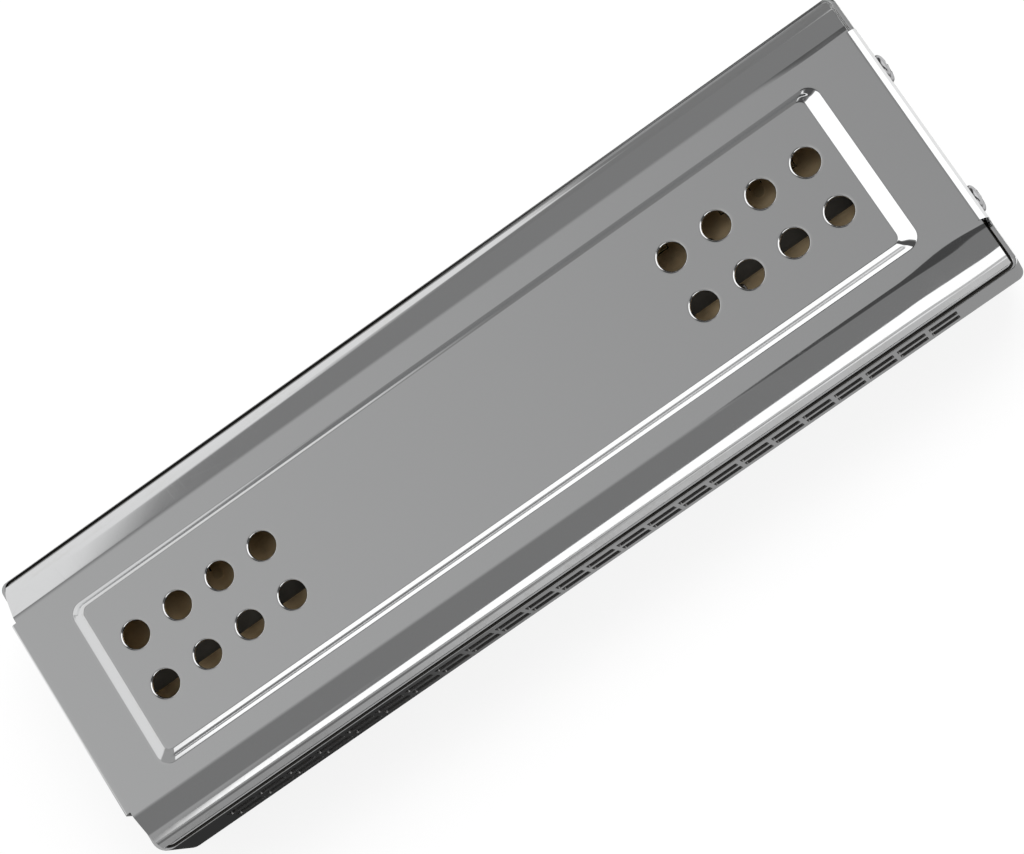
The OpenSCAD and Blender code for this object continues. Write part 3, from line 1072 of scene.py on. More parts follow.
@dataclass
class Cover:
    """Pressed cover: panel with sound holes, its step, the flat top, two skirts and two tabs.

    A guard is a narrow flat strip beside a bend or a rim, which keeps the flat area next to it flat. The
    steps, sides, stations and quarters say in how many parts something is drawn, and the wears how worn it is.
    """

    level: Level
    skirt: Skirt = Skirt()
    panel_half: Flat = (77.15, 14.82)
    panel_middle: Flat = (-0.28, -0.38)
    step: Flat = (3.0, 2.0)
    panel_corner: float = 1.4
    guard: float = 0.3
    hole_radius: float = 2.54
    hole_round: float = 0.36
    hole_pitch: float = 9.23
    hole_row_gap: float = 10.27
    hole_group: float = 57.5
    hole_columns: tuple[float, ...] = (-1.5, -0.5, 0.5, 1.5)
    hole_rows: Flat = (-0.5, 0.5)
    skirt_end: float = 89.7
    tab_bend: Flat = (1.1, 1.7)
    tab_half: float = 20.017
    tab_guard: float = 0.2
    notch: float = 0.06
    corner_growth: float = 0.45
    end_tilts: tuple[Flat, ...] = ((0.0, 0.0), (0.08, 36.0), (0.92, 36.0), (1.0, 0.0))
    front_tilts: tuple[Flat, ...] = (
        (0.0, 0.0), (0.12, 48.0), (0.36, 48.5), (0.45, 56.0),
        (0.58, 56.0), (0.67, 48.5), (0.85, 47.0), (1.0, 0.0),
    )
    rear_tilts: tuple[Flat, ...] = (
        (0.0, 0.0), (0.12, 44.0), (0.34, 46.0), (0.46, 66.0),
        (0.54, 66.0), (0.66, 46.0), (0.88, 44.0), (1.0, 0.0),
    )
    tab_low: float = 0.3
    tab_corner: float = 3.0
    screw_hole: float = 1.02
    half_stations: int = 30
    tab_quarters: int = 4
    bend_steps: int = 10
    corner_steps: int = 8
    hole_sides: int = 48
    rim_steps: int = 6
    screw_hole_sides: int = 20
    step_wear: float = 0.4
    worn_rows: range = range(2, 7)
    brow_wear: float = 0.35
    brow_from: float = 40.0
    bend_wear: float = 0.4
    rim_wear: Flat = (0.2, 0.8)
    tab_wear: float = 0.6

    def build(self, finishes: Finishes) -> bpy.types.Object:
        """Makes the cover.

        Args:
            finishes: the materials.

        Returns:
            The cover.
        """
        skin = Skin()
        inner_land = self._panel(skin)
        rows = {side: self._skirt(skin, side) for side in Side}
        lines = {end: self._tab(skin, end) for end in End}
        outline = rows[Side.FRONT] + lines[End.RIGHT] + rows[Side.REAR][::-1] + lines[End.LEFT][::-1]
        fill_between(skin.bm, [outline, inner_land])
        bm = skin.close()
        dress = Dress("harmonica", (f"{self.level.word}_cover",), "cover_chrome", finishes.cover)
        return place_piece(f"Cover_{self.level.word}", bm, BODY.placed(self.level), dress)

    def _level_point(self, skin: Skin, x: float, y: float, z: float, wear: float = 0.0) -> Vert:
        """Adds a point whose inner face lies straight below it."""
        return skin.point((x, y, z), (x, y, z - BODY.sheet), wear)

    def _panel(self, skin: Skin) -> list[Vert]:
        """Adds the raised panel with its sound holes, and its step.

        Args:
            skin: the cover's surface.

        Returns:
            The loop on the flat top round the step.
        """
        loops = self._step_loops(skin)
        holes = []
        for group in (-1, 1):
            for column in self.hole_columns:
                for row in self.hole_rows:
                    x = group * self.hole_group + column * self.hole_pitch
                    holes.append(self._hole(skin, x, row * self.hole_row_gap))
        fill_between(skin.bm, [loops[0]] + holes)
        return loops[-1]

    def _step_loops(self, skin: Skin) -> list[list[Vert]]:
        """Adds the step round the panel.

        Args:
            skin: the cover's surface.

        Returns:
            Its loops, from the panel down to the flat top.
        """
        ends = pressed_step(BODY.panel_rise, self.step[0], self.end_tilts)
        fronts = pressed_step(BODY.panel_rise, self.step[1], self.front_tilts)
        rears = pressed_step(BODY.panel_rise, self.step[1], self.rear_tilts)
        rows = [(-self.guard, -self.guard, 0.0, 0.0, 0.0)]
        for end, front, rear in zip(ends, fronts, rears):
            rows.append((end[0], front[0], end[1], front[1], rear[1]))
        loops = []
        for k, (grow_x, grow_y, drop_x, drop_front, drop_rear) in enumerate(rows):
            wear = self.step_wear if k in self.worn_rows else 0.0
            loop = []
            for x, y in self._ring(grow_x, grow_y, self.corner_growth * max(0.0, grow_x + grow_y) / 2):
                out_x, out_y = max(0.0, abs(x) - self.panel_half[0]), max(0.0, abs(y) - self.panel_half[1])
                share = out_x / (out_x + out_y) if out_x + out_y > CLOSE else 0.5
                drop_y = drop_front if y < 0 else drop_rear
                drop = drop_y + (drop_x - drop_y) * share
                loop.append(self._panel_point(skin, x, y, BODY.land_top + BODY.panel_rise - drop, wear))
            loops.append(loop)
        growth = self.corner_growth * sum(self.step) / 2 + self.guard
        ring = self._ring(self.step[0] + self.guard, self.step[1] + self.guard, growth)
        loops.append([self._panel_point(skin, x, y, BODY.land_top) for x, y in ring])
        join_rows(skin.bm, loops)
        return loops

    def _ring(self, grow_x: float, grow_y: float, growth: float) -> list[Flat]:
        """The panel's outline, grown outwards and round its corners."""
        half_x, half_y = self.panel_half[0] + grow_x, self.panel_half[1] + grow_y
        return rounded_ring(half_x, half_y, self.panel_corner + growth)

    def _panel_point(self, skin: Skin, x: float, y: float, z: float, wear: float = 0.0) -> Vert:
        """Adds a point whose place is given from the panel's middle."""
        return self._level_point(skin, x + self.panel_middle[0], y + self.panel_middle[1], z, wear)

    def _hole(self, skin: Skin, x: float, y: float) -> list[Vert]:
        """Adds a sound hole with its rolled rim.

        Args:
            skin: the cover's surface.
            x: the hole's place.
            y: the hole's place.

        Returns:
            The hole's outermost loop, which the panel's plate meets.
        """
        top = BODY.land_top + BODY.panel_rise
        rim = self.hole_radius + self.hole_round
        profile = [(rim + self.guard, 0.0, 0.0)]
        for k, turn in enumerate(quarter_turns(self.rim_steps)):
            wear = self.rim_wear[0] + (self.rim_wear[1] - self.rim_wear[0]) * k / self.rim_steps
            radius = rim - self.hole_round * math.sin(turn)
            profile.append((radius, -self.hole_round * (1 - math.cos(turn)), wear))
        loops = []
        for radius, drop, wear in profile:
            ring = circle(x, y, radius, self.hole_sides)
            ends = [((*place, top + drop), (*place, top - BODY.sheet)) for place in ring]
            loops.append([skin.point(outer, inner, wear) for outer, inner in ends])
        join_rows(skin.bm, loops)
        return loops[0]

    def _stations(self) -> list[float]:
        """Places along the length where the skirt's cross-section is drawn, closer together near the ends."""
        half = self.half_stations
        return [self.skirt_end * math.sin(math.pi / 2 * k / half) for k in range(-half, half + 1)]

    def _skirt(self, skin: Skin, side: Side) -> list[Vert]:
        """Adds one skirt.

        Args:
            skin: the cover's surface.
            side: which skirt.

        Returns:
            The row of points on the flat top beside the fold, from left to right.
        """
        columns = []
        for x in self._stations():
            walk = self.skirt.walk(x, side)
            guard = (walk[0][0] - self.guard, 0.0, 0.0)
            column = []
            for u, z, angle in [guard] + walk:
                turn = math.radians(angle)
                out_u, out_z = BODY.fold_u + u, BODY.land_top + z
                in_u = out_u - BODY.sheet * math.sin(turn)
                in_z = out_z - BODY.sheet * math.cos(turn)
                wear = self.brow_wear if angle > self.brow_from else 0.0
                column.append(skin.point((x, side.value * out_u, out_z), (x, side.value * in_u, in_z), wear))
            columns.append(column)
        join_rows(skin.bm, columns, closed=False)
        return [column[0] for column in columns]

    def _fold_line(self, x: float, side: Side) -> float:
        """How far from the middle the flat top reaches at one place along the length."""
        return BODY.fold_u + self.skirt.walk(x, side)[0][0] - self.guard

    def _necked(self, neck: dict[Side, float], share: float) -> list[float]:
        """Places across the tab, drawn in at its bend so that it clears the skirts.

        Args:
            neck: half the tab's width at the start of the bend, towards each side.
            share: how far round the bend, from 0 to 1.

        Returns:
            The places from front to rear.
        """
        places = []
        for k in range(-self.tab_quarters, self.tab_quarters + 1):
            start = neck[Side.FRONT if k < 0 else Side.REAR]
            places.append((start + (self.tab_half - start) * share) * k / self.tab_quarters)
        return places

    def _tab(self, skin: Skin, end: End) -> list[Vert]:
        """Adds one end tab: its bend, its plate and its two screw holes.

        Args:
            skin: the cover's surface.
            end: which end.

        Returns:
            The row of points on the flat top beside the bend, from front to rear.
        """
        bend = self.tab_bend[0 if end is End.LEFT else 1]
        fold = BODY.half_length - bend
        inner = bend - BODY.sheet
        centre = BODY.land_top - bend
        edge = end.value * (fold - self.tab_guard)
        neck = {side: min(self.tab_half, self._fold_line(edge, side) - self.notch) for side in Side}
        rows = [[self._level_point(skin, edge, y, BODY.land_top) for y in self._necked(neck, 0.0)]]
        for k, turn in enumerate(quarter_turns(self.bend_steps)):
            row = []
            for y in self._necked(neck, k / self.bend_steps):
                outer = (end.value * (fold + bend * math.sin(turn)), y, centre + bend * math.cos(turn))
                below = (end.value * (fold + inner * math.sin(turn)), y, centre + inner * math.cos(turn))
                row.append(skin.point(outer, below, self.bend_wear * math.sin(turn)))
            rows.append(row)
        rows.append([self._tab_point(skin, end, y, centre - self.guard) for y in self._necked(neck, 1.0)])
        join_rows(skin.bm, rows, closed=False)
        outline = list(rows[-1])
        for side in (1, -1):
            centre_y, centre_z = side * (self.tab_half - self.tab_corner), self.tab_low + self.tab_corner
            for turn in quarter_turns(self.corner_steps)[::side]:
                y = centre_y + side * self.tab_corner * math.cos(turn)
                z = centre_z - self.tab_corner * math.sin(turn)
                outline.append(self._tab_point(skin, end, y, z, self.tab_wear))
        loops = [outline]
        for side in (-1, 1):
            middle = (side * BODY.cover_screw[0], BODY.cover_screw[1])
            ring = circle(*middle, self.screw_hole, self.screw_hole_sides)
            loops.append([self._tab_point(skin, end, y, z) for y, z in ring])
        fill_between(skin.bm, loops)
        return rows[0]

    def _tab_point(self, skin: Skin, end: End, y: float, z: float, wear: float = 0.0) -> Vert:
        """Adds a point of the tab's flat plate."""
        outer, inner = end.value * BODY.half_length, end.value * (BODY.half_length - BODY.sheet)
        return skin.point((outer, y, z), (inner, y, z), wear)


@dataclass
class Mouthpiece:
    """Channel round one edge of the comb, with a window for each cell."""

    side: Side
    corner_rear: float = 1.6
    corners: Flat = (3.0, 1.6)
    comb_corner: float = 2.2
    groove_front: Flat = (0.2, 0.65)
    groove_end: Flat = (0.85, 1.25)
    groove_depth: float = 0.7
    window_low: float = 0.8
    window_high: float = 4.1
    window_round: float = 0.4
    block_start: float = 86.0
    flange_depth: float = 3.0
    edge_round: float = 0.12
    window_edge: float = 0.05
    corner_steps: int = 8
    corner_least: float = 0.5
    # Painted shade: at the rear the groove's shade fades out over this reach from the left end; the windows
    # get this amount, from this depth into the wall.
    rear_shade_reach: float = 50.0
    window_shade: float = 0.75
    shade_from: float = 0.004
    weld: float = 0.0001
    window_margin: Flat = (1.0, 0.01)
    window_segments: int = 4

    def build(self, finishes: Finishes) -> bpy.types.Object:
        """Makes the mouthpiece.

        Args:
            finishes: the materials.

        Returns:
            The mouthpiece.
        """
        bm = worn_mesh()
        outer, inner = self._paths()
        rows = self._window_rows()
        self._wall(bm, outer, [-BODY.mouth_top] + rows + [BODY.mouth_top])
        self._wall(bm, inner, [-BODY.comb_top] + rows + [BODY.comb_top])
        self._reveals(bm)
        for up in (1, -1):
            self._channel(bm, outer, inner, up)
        for end in (1, -1):
            self._end_cap(bm, end)
        bmesh.ops.remove_doubles(bm, verts=bm.verts, dist=CLOSE)
        bmesh.ops.recalc_face_normals(bm, faces=bm.faces)
        self._round(bm)
        bmesh.ops.remove_doubles(bm, verts=bm.verts, dist=self.weld)
        dress = Dress("harmonica", (f"mouthpiece_{self.side.word}",), "mouthpiece_chrome", finishes.mouth)
        return place_piece(f"Mouthpiece_{self.side.word}", bm, BODY.placed(side=self.side), dress)

    def _window_rows(self) -> list[float]:
        """Heights of the windows' lower and upper edges, from the bottom up."""
        return [-self.window_high, -self.window_low, self.window_low, self.window_high]

    @staticmethod
    def _cell(column: int) -> Flat:
        """Left and right edge of a cell."""
        middle = BODY.column_x(column)
        return middle - BODY.cell_width / 2, middle + BODY.cell_width / 2

    def _plan(self, length: float, depth: float, radii: Flat) -> list[Flat]:
        """Plan of a wall, from the left end round to the right one.

        Args:
            length: half its length.
            depth: its distance from the middle.
            radii: radius of its left and right corners.

        Returns:
            The points, equally many for every wall.
        """
        stations: list[float] = [-self.block_start, self.block_start]
        for column in range(BODY.columns):
            stations += self._cell(column)
        tails = []
        for end, radius in zip((-1, 1), radii):
            arc = [(end * length, -BODY.fold_u)]
            for turn in quarter_turns(self.corner_steps):
                across = length - radius + radius * math.cos(turn)
                arc.append((end * across, -(depth - radius + radius * math.sin(turn))))
            tails.append(arc)
        return tails[0] + [(x, -depth) for x in sorted(stations)] + tails[1][::-1]

    def _rim(self, edge: int) -> list[Flat]:
        """Plan of one edge of the groove.

        Args:
            edge: 0 for the outer edge, 1 for the inner one.

        Returns:
            The points, as for a wall.
        """
        in_x, in_y = self.groove_end[edge], self.groove_front[edge]
        left, right = (max(self.corner_least, corner - in_y) for corner in self._corners())
        return self._plan(BODY.half_length - in_x, BODY.half_depth - in_y, (left, right))

    def _dirt_at(self, x: float) -> float:
        """How much shade is painted into the groove: all of it in front, and towards the left end at the rear.
        """
        return 1.0 if self.side is Side.FRONT else min(1.0, max(0.0, 1.0 + x / self.rear_shade_reach))

    def _corners(self) -> Flat:
        """Radius of the left and right corners."""
        return self.corners if self.side is Side.FRONT else (self.corner_rear, self.corner_rear)

    def _paths(self) -> tuple[list[Flat], list[Flat]]:
        """Outer and inner plan of the wall, point for point."""
        inside = (BODY.half_length - BODY.sheet, BODY.half_depth - BODY.mouth_wall, (self.comb_corner,) * 2)
        return self._plan(BODY.half_length, BODY.half_depth, self._corners()), self._plan(*inside)

    def _is_window(self, first: Flat, second: Flat, low: float, high: float) -> bool:
        """Whether a face of the wall is a window.

        Args:
            first: one end of the face in the plan.
            second: its other end.
            low: its lower edge.
            high: its upper edge.

        Returns:
            True for a window.
        """
        wide = abs(abs(second[0] - first[0]) - BODY.cell_width) < CLOSE
        tall = abs(abs(high - low) - (self.window_high - self.window_low)) < CLOSE
        return wide and tall and abs(first[0]) < self.block_start and abs(second[0]) < self.block_start

    def _wall(self, bm: Mesh, path: Sequence[Flat], levels: Sequence[float]) -> None:
        """Adds an upright wall along a path, with the windows left out.

        Args:
            bm: the mesh.
            path: the wall's plan.
            levels: heights of its rows.
        """
        for first, second in zip(path, path[1:]):
            for low, high in zip(levels, levels[1:]):
                if not self._is_window(first, second, low, high):
                    flat_face(bm, [(*first, low), (*second, low), (*second, high), (*first, high)])

    def _reveals(self, bm: Mesh) -> None:
        """Adds the four inner walls of each window.

        Args:
            bm: the mesh.
        """
        front, rear = -BODY.half_depth, -BODY.half_depth + BODY.mouth_wall
        for column in range(BODY.columns):
            left, right = self._cell(column)
            for up in (1, -1):
                low, high = up * self.window_low, up * self.window_high
                ring = [(left, low), (right, low), (right, high), (left, high)]
                for k, (x, z) in enumerate(ring):
                    nx, nz = ring[(k + 1) % 4]
                    flat_face(bm, [(x, front, z), (nx, front, nz), (nx, rear, nz), (x, rear, z)])

    def _channel(self, bm: Mesh, outer: Sequence[Flat], inner: Sequence[Flat], up: int) -> None:
        """Adds the flange over the plates and the solid blocks at its ends.

        Args:
            bm: the mesh.
            outer: plan of the outer wall.
            inner: plan of the inner wall.
            up: 1 for the upper flange, -1 for the lower one.
        """
        wall, flange = -BODY.half_depth + BODY.mouth_wall, -BODY.half_depth + self.flange_depth
        start, back = self.block_start, -BODY.fold_u
        top, plate, comb = up * BODY.mouth_top, up * BODY.plate_top, up * BODY.comb_top
        self._groove(bm, outer, up)
        notch = [(start, back), (start, flange), (-start, flange), (-start, back)]
        flat_face(bm, [(*p, top) for p in self._rim(1) + notch])
        middle = [p for p in inner if abs(p[0]) <= start + CLOSE]
        flat_face(bm, [(*p, plate) for p in middle] + [(start, flange, plate), (-start, flange, plate)])
        for first, second in zip(middle, middle[1:]):
            flat_face(bm, [(*first, comb), (*second, comb), (*second, plate), (*first, plate)])
        front = [(-start, flange, plate), (start, flange, plate), (start, flange, top), (-start, flange, top)]
        flat_face(bm, front)
        for end in (-1, 1):
            x = end * start
            section = [(wall, comb), (wall, plate), (flange, plate), (flange, top), (back, top), (back, comb)]
            flat_face(bm, [(x, y, z) for y, z in section])
            pocket = [p for p in inner if end * p[0] >= start - CLOSE]
            flat_face(bm, [(*p, comb) for p in pocket[::end]] + [(x, back, comb)])

    def _groove(self, bm: Mesh, outer: Sequence[Flat], up: int) -> None:
        """Adds the rim of the flange and the groove inside it, where the cover sits, with shade painted into
        the groove.

        Args:
            bm: the mesh.
            outer: plan of the outer wall.
            up: 1 for the upper flange, -1 for the lower one.
        """
        grime = bm.loops.layers.float.get(RECESS_SHADE)
        edge, rim = self._rim(0), self._rim(1)
        top = up * BODY.mouth_top
        low = top - up * self.groove_depth
        bands = [(outer, top, edge, top, 0.0), (edge, top, edge, low, 1.0), (edge, low, rim, low, 1.0),
                 (rim, low, rim, top, 1.0)]
        for first, first_z, second, second_z, shade_share in bands:
            for (a, b), (c, d) in zip(zip(first, first[1:]), zip(second, second[1:])):
                made = flat_face(bm, [(*a, first_z), (*b, first_z), (*d, second_z), (*c, second_z)])
                for loop in made.loops:
                    # Painted shade in the groove: the dark line between cover and mouthpiece.
                    loop[grime] = shade_share * self._dirt_at(loop.vert.co.x)

    def _end_cap(self, bm: Mesh, end: int) -> None:
        """Adds the cut end of the mouthpiece beside the covers' tabs.

        Args:
            bm: the mesh.
            end: -1 for the left end, 1 for the right one.
        """
        x_out, x_in = end * BODY.half_length, end * (BODY.half_length - BODY.sheet)
        start = end * self.block_start
        rows = self._window_rows()
        top, comb = BODY.mouth_top, BODY.comb_top
        edge, rim = (end * (BODY.half_length - inset) for inset in self.groove_end)
        low = top - self.groove_depth
        upper = [(edge, top), (edge, low), (rim, low), (rim, top), (start, top), (start, comb)]
        points = [(x_out, z) for z in [-top] + rows + [top]] + upper
        points += [(x_in, z) for z in [comb] + rows[::-1] + [-comb]]
        points += [(x, -z) for x, z in reversed(upper)]
        flat_face(bm, [(x, -BODY.fold_u, z) for x, z in points])

    def _beside_window(self, place: Vector) -> bool:
        """Whether a place is as high as a window or lower, and between the end blocks."""
        margin_x, margin_z = self.window_margin
        return abs(place.z) < self.window_high + margin_z and abs(place.x) < self.block_start - margin_x

    def _window_corner(self, edge: Edge) -> bool:
        """Whether an edge is the corner of a window, which runs through the wall.

        Args:
            edge: the edge.

        Returns:
            True for a corner.
        """
        first, last = (vert.co for vert in edge.verts)
        through = abs(first.x - last.x) < CLOSE and abs(first.z - last.z) < CLOSE
        heights = (self.window_low, self.window_high)
        level = any(abs(abs(first.z) - height) < CLOSE for height in heights)
        return through and level and self._beside_window(first)

    def _round(self, bm: Mesh) -> None:
        """Rounds the windows' corners and then every sharp edge, and paints shade inside the windows.

        Args:
            bm: the mesh.
        """
        corners = [edge for edge in bm.edges if self._window_corner(edge)]
        round_edges(bm, corners, self.window_round, self.window_segments)
        for inner, width in ((True, self.window_edge), (False, self.edge_round)):
            sharp = [
                edge for edge in bm.edges
                if len(edge.link_faces) == 2 and edge.calc_face_angle(0.0) > SHARP
                and all(self._beside_window(vert.co) for vert in edge.verts) == inner
            ]
            soften(bm, sharp, width)
        # Painted shade inside the windows.
        mark(bm, RECESS_SHADE, [face for face in bm.faces if self._in_window(face)], self.window_shade)

    def _in_window(self, face: Face) -> bool:
        """Whether a face lies inside a window, between the wall's two sides.

        Args:
            face: the face.

        Returns:
            True if it does.
        """
        middle = face.calc_center_median()
        deep = middle.y + BODY.half_depth
        return self.shade_from < deep < BODY.mouth_wall and self._beside_window(middle)


@dataclass
class ReedTongues:
    """The twelve tongues that one plate carries for one breath, filed thinner along their middle."""

    level: Level
    side: Side
    breath: Breath
    longest: float = 15.6
    shortest: float = 8.5
    width: float = 2.2
    thickness: float = 0.3
    rise: float = 0.1
    hinge_gap: float = 0.05
    blow_line: float = 8.9
    draw_line: float = 23.0
    edge_round: float = 0.04
    taper: float = 0.03
    filed: float = 0.42
    filed_reach: float = 1.15
    tip_from: float = 0.75
    steps: int = 10

    def build(self, finishes: Finishes) -> bpy.types.Object:
        """Makes the group of tongues.

        Args:
            finishes: the materials.

        Returns:
            The group.
        """
        bm = worn_mesh()
        first = 0 if self.breath is Breath.BLOW else 1
        for column in range(first, BODY.columns, 2):
            self._tongue(bm, column)
        bmesh.ops.recalc_face_normals(bm, faces=bm.faces)
        soften(bm, [e for e in bm.edges if e.calc_face_angle(0.0) > SHARP], self.edge_round, 1)
        bank = f"{self.level.word}_{self.side.word}"
        kind = self.breath.word
        dress = Dress(f"{kind}_{bank}", (f"{kind}_reeds_{bank}",), "reed_brass", finishes.reed)
        return place_piece(f"Tongues_{kind}_{bank}", bm, BODY.placed(self.level, self.side), dress)

    def _tongue(self, bm: Mesh, column: int) -> None:
        """Adds the tongue of one column.

        Args:
            bm: the mesh.
            column: the column's number.
        """
        blow = self.breath is Breath.BLOW
        pitch_share = column / (BODY.columns - 1)
        length = self.longest - (self.longest - self.shortest) * pitch_share
        line, way = (self.blow_line, 1) if blow else (self.draw_line, -1)
        seat = BODY.comb_top - self.rise if blow else BODY.plate_top + self.rise
        away = -1 if blow else 1
        x = BODY.column_x(column)
        rings = []
        for k in range(self.steps + 1):
            share = k / self.steps
            u = line + way * (self.hinge_gap + share * (length - self.hinge_gap))
            filed = math.sin(math.pi * min(1.0, share * self.filed_reach)) ** 2
            tip = max(0.0, share - self.tip_from) / (1 - self.tip_from)
            thick = self.thickness * (1 - self.filed * filed * (1 - tip * (1 - pitch_share)))
            half = self.width / 2 * (1 - self.taper * share)
            section = [(-half, 0.0), (half, 0.0), (half, thick), (-half, thick)]
            rings.append([bm.verts.new((x + dx, -u, seat + away * dz)) for dx, dz in section])
        join_rows(bm, rings)
        bm.faces.new(rings[0])
        bm.faces.new(rings[-1][::-1])


@dataclass
class CoverScrews:
    """The two pan-head screws of one tab, with cross recesses."""

    level: Level
    end: End
    head_radius: float = 2.15
    head_rise: float = 1.2
    shank_radius: float = 1.0
    length: float = 6.0
    shank_tip: Flat = (0.5, 0.8)
    rim_share: float = 0.25
    rim_round: float = 0.06
    dome_angles: tuple[float, ...] = (12, 22, 32, 41, 49)
    sides: int = 40
    recess_arm: float = 1.2
    recess_half: float = 0.3
    recess_wide: float = 0.1
    recess_crown: float = 0.06
    recess_inside: float = 1.15
    recess_rows: tuple[Flat, ...] = ((1.0, 0.0), (0.93, 0.06), (0.62, 0.75), (0.25, 0.87))
    recess_turns: Flat = (24.0, 61.0)
    end_turn: float = 17.0
    level_turn: float = 31.0
    # Painted shade in the cross recess.
    recess_shade: float = 0.8

    def build(self, finishes: Finishes) -> bpy.types.Object:
        """Makes the pair of screws.

        Args:
            finishes: the materials.

        Returns:
            The pair.
        """
        bm = worn_mesh()
        for side, turn in zip((-1, 1), self.recess_turns):
            start = len(bm.verts)
            self._screw(bm, turn + self.end_turn * self.end.value + self.level_turn * self.level.value)
            bm.verts.ensure_lookup_table()
            tip = Matrix.Rotation(math.radians(90 * self.end.value), 4, "Y")
            y, z = side * BODY.cover_screw[0], BODY.cover_screw[1]
            where = Matrix.Translation((self.end.value * BODY.half_length, y, z)) @ tip
            bmesh.ops.transform(bm, matrix=where, verts=bm.verts[start:])
        bmesh.ops.recalc_face_normals(bm, faces=bm.faces)
        node = f"cover_screws_{self.level.word}_{self.end.word}"
        dress = Dress("harmonica", (node,), "screw_steel", finishes.screw, smooth_angle=35.0)
        name = f"Screws_{self.level.word}_{self.end.word}"
        return place_piece(name, bm, BODY.placed(self.level), dress)

    def _dome(self, radius: float) -> float:
        """Height of the head's top at a distance from its middle."""
        rim = self.head_rise * self.rim_share
        return rim + (self.head_rise - rim) * math.sqrt(max(0.0, 1 - (radius / self.head_radius) ** 2))

    def _screw(self, bm: Mesh, turn: float) -> None:
        """Adds one screw with its seat at the origin and its head upwards.

        Args:
            bm: the mesh.
            turn: how far the recess is turned, in degrees.
        """
        rim, shank = self.head_radius, self.shank_radius
        profile = [(self.shank_tip[0] * shank, -self.length), (shank, self.shank_tip[1] - self.length)]
        profile += [(shank, 0.0), (rim - self.rim_round, 0.0), (rim, self.rim_round)]
        profile.append((rim, self.head_rise * self.rim_share))
        for angle in self.dome_angles:
            radius = rim * math.cos(math.radians(angle))
            profile.append((radius, self._dome(radius)))
        rings = []
        for radius, z in profile:
            rings.append([bm.verts.new((x, y, z)) for x, y in circle(0.0, 0.0, radius, self.sides)])
        join_rows(bm, rings)
        bm.faces.new(rings[0][::-1])
        self._recess(bm, rings[-1], math.radians(turn))

    def _recess(self, bm: Mesh, rim: Sequence[Vert], turn: float) -> None:
        """Adds the middle of the head with its tapered cross recess, with shade painted into the recess.

        Args:
            bm: the mesh.
            rim: the ring of points round the middle of the head.
            turn: how far the recess is turned.
        """
        layers = []
        for shrink, drop in self.recess_rows:
            arm, half = self.recess_arm * shrink, self.recess_half * min(1.0, shrink + self.recess_wide)
            crown, inside = self.recess_crown * shrink, self.recess_inside * half
            loop = []
            for quarter in range(4):
                angle = turn + quarter * math.pi / 2
                for px, py in ((arm, -half), (arm + crown, 0.0), (arm, half), (inside, inside)):
                    x = px * math.cos(angle) - py * math.sin(angle)
                    y = px * math.sin(angle) + py * math.cos(angle)
                    loop.append(bm.verts.new((x, y, self._dome(math.hypot(x, y)) - drop)))
            layers.append(loop)
        fill_between(bm, [rim, layers[0]], normal=(0.0, 0.0, 1.0))
        sunk = [bm.faces.new(layers[-1])] + join_rows(bm, layers)
        # Painted shade in the recess.
        mark(bm, RECESS_SHADE, sunk, self.recess_shade)


class Carried(Enum):
    """CAD nodes that keep their shape: how their names start, their finish and the width of their edges."""

    COMB = ("comb", "comb", 0.12)
    PLATES = ("reed_plate_", "plate", 0.06)
    ROOTS = ("reed_roots_", "reed", 0.08)
    RIVETS = ("reed_rivets_", "rivet", 0.0)
    SCREWS = ("plate_screws_", "screw", 0.0)


@dataclass
class CarriedNodes:
    """The comb, plates, roots, rivets and plate screws, which stay as the CAD has them and get a finish."""

    nodes: dict[str, bpy.types.Object]
    edge_angle: float = 50.0

    def dress(self, finishes: Finishes) -> int:
        """Gives every carried node its material and soft edges.

        Args:
            finishes: the materials.

        Returns:
            How many nodes were dressed.
        """
        count = 0
        for kind in Carried:
            start, finish, width = kind.value
            for name, node in self.nodes.items():
                if name.startswith(start):
                    self._dress(node, getattr(finishes, finish), width)
                    count += 1
        return count

    def _dress(self, node: bpy.types.Object, material: bpy.types.Material, width: float) -> None:
        """Gives one node its material, and rounds its edges without touching its mesh.

        Args:
            node: the node.
            material: its material.
            width: width of the rounding, 0 for none.
        """
        node.data.materials.clear()
        node.data.materials.append(material)
        if width:
            bevel = node.modifiers.new("Broken edges", "BEVEL")
            bevel.width = width * MM
            bevel.segments = 2
            bevel.limit_method = "ANGLE"
            bevel.angle_limit = math.radians(self.edge_angle)
            bevel.use_clamp_overlap = True
            flatten(node)


@dataclass(frozen=True)
class SoftCard:
    """One soft patch of the studio that polished metal shows.

    Angles are in degrees, polar ones from straight up. Its lower end moves with the azimuth by lean, and its
    middle moves with the polar angle by slant.
    """

    name: str
    azimuth: float
    half_width: float
    polar_from: float
    polar_to: float
    softness: float
    level: float
    lean: float = 0.0
    slant: float = 0.0


@dataclass(frozen=True)
class FloorPatch:
    """One soft patch of painted tone on the floor, which only polished metal shows, in metres: dark ones are
    painted shadow, bright ones painted light.

    Each ramp goes from where the patch starts to where it is full. The one along X moves with Y by shear.
    """

    name: str
    level: float
    x_ramp: Optional[Flat] = None
    y_ramp: Optional[Flat] = None
    shear: float = 0.0


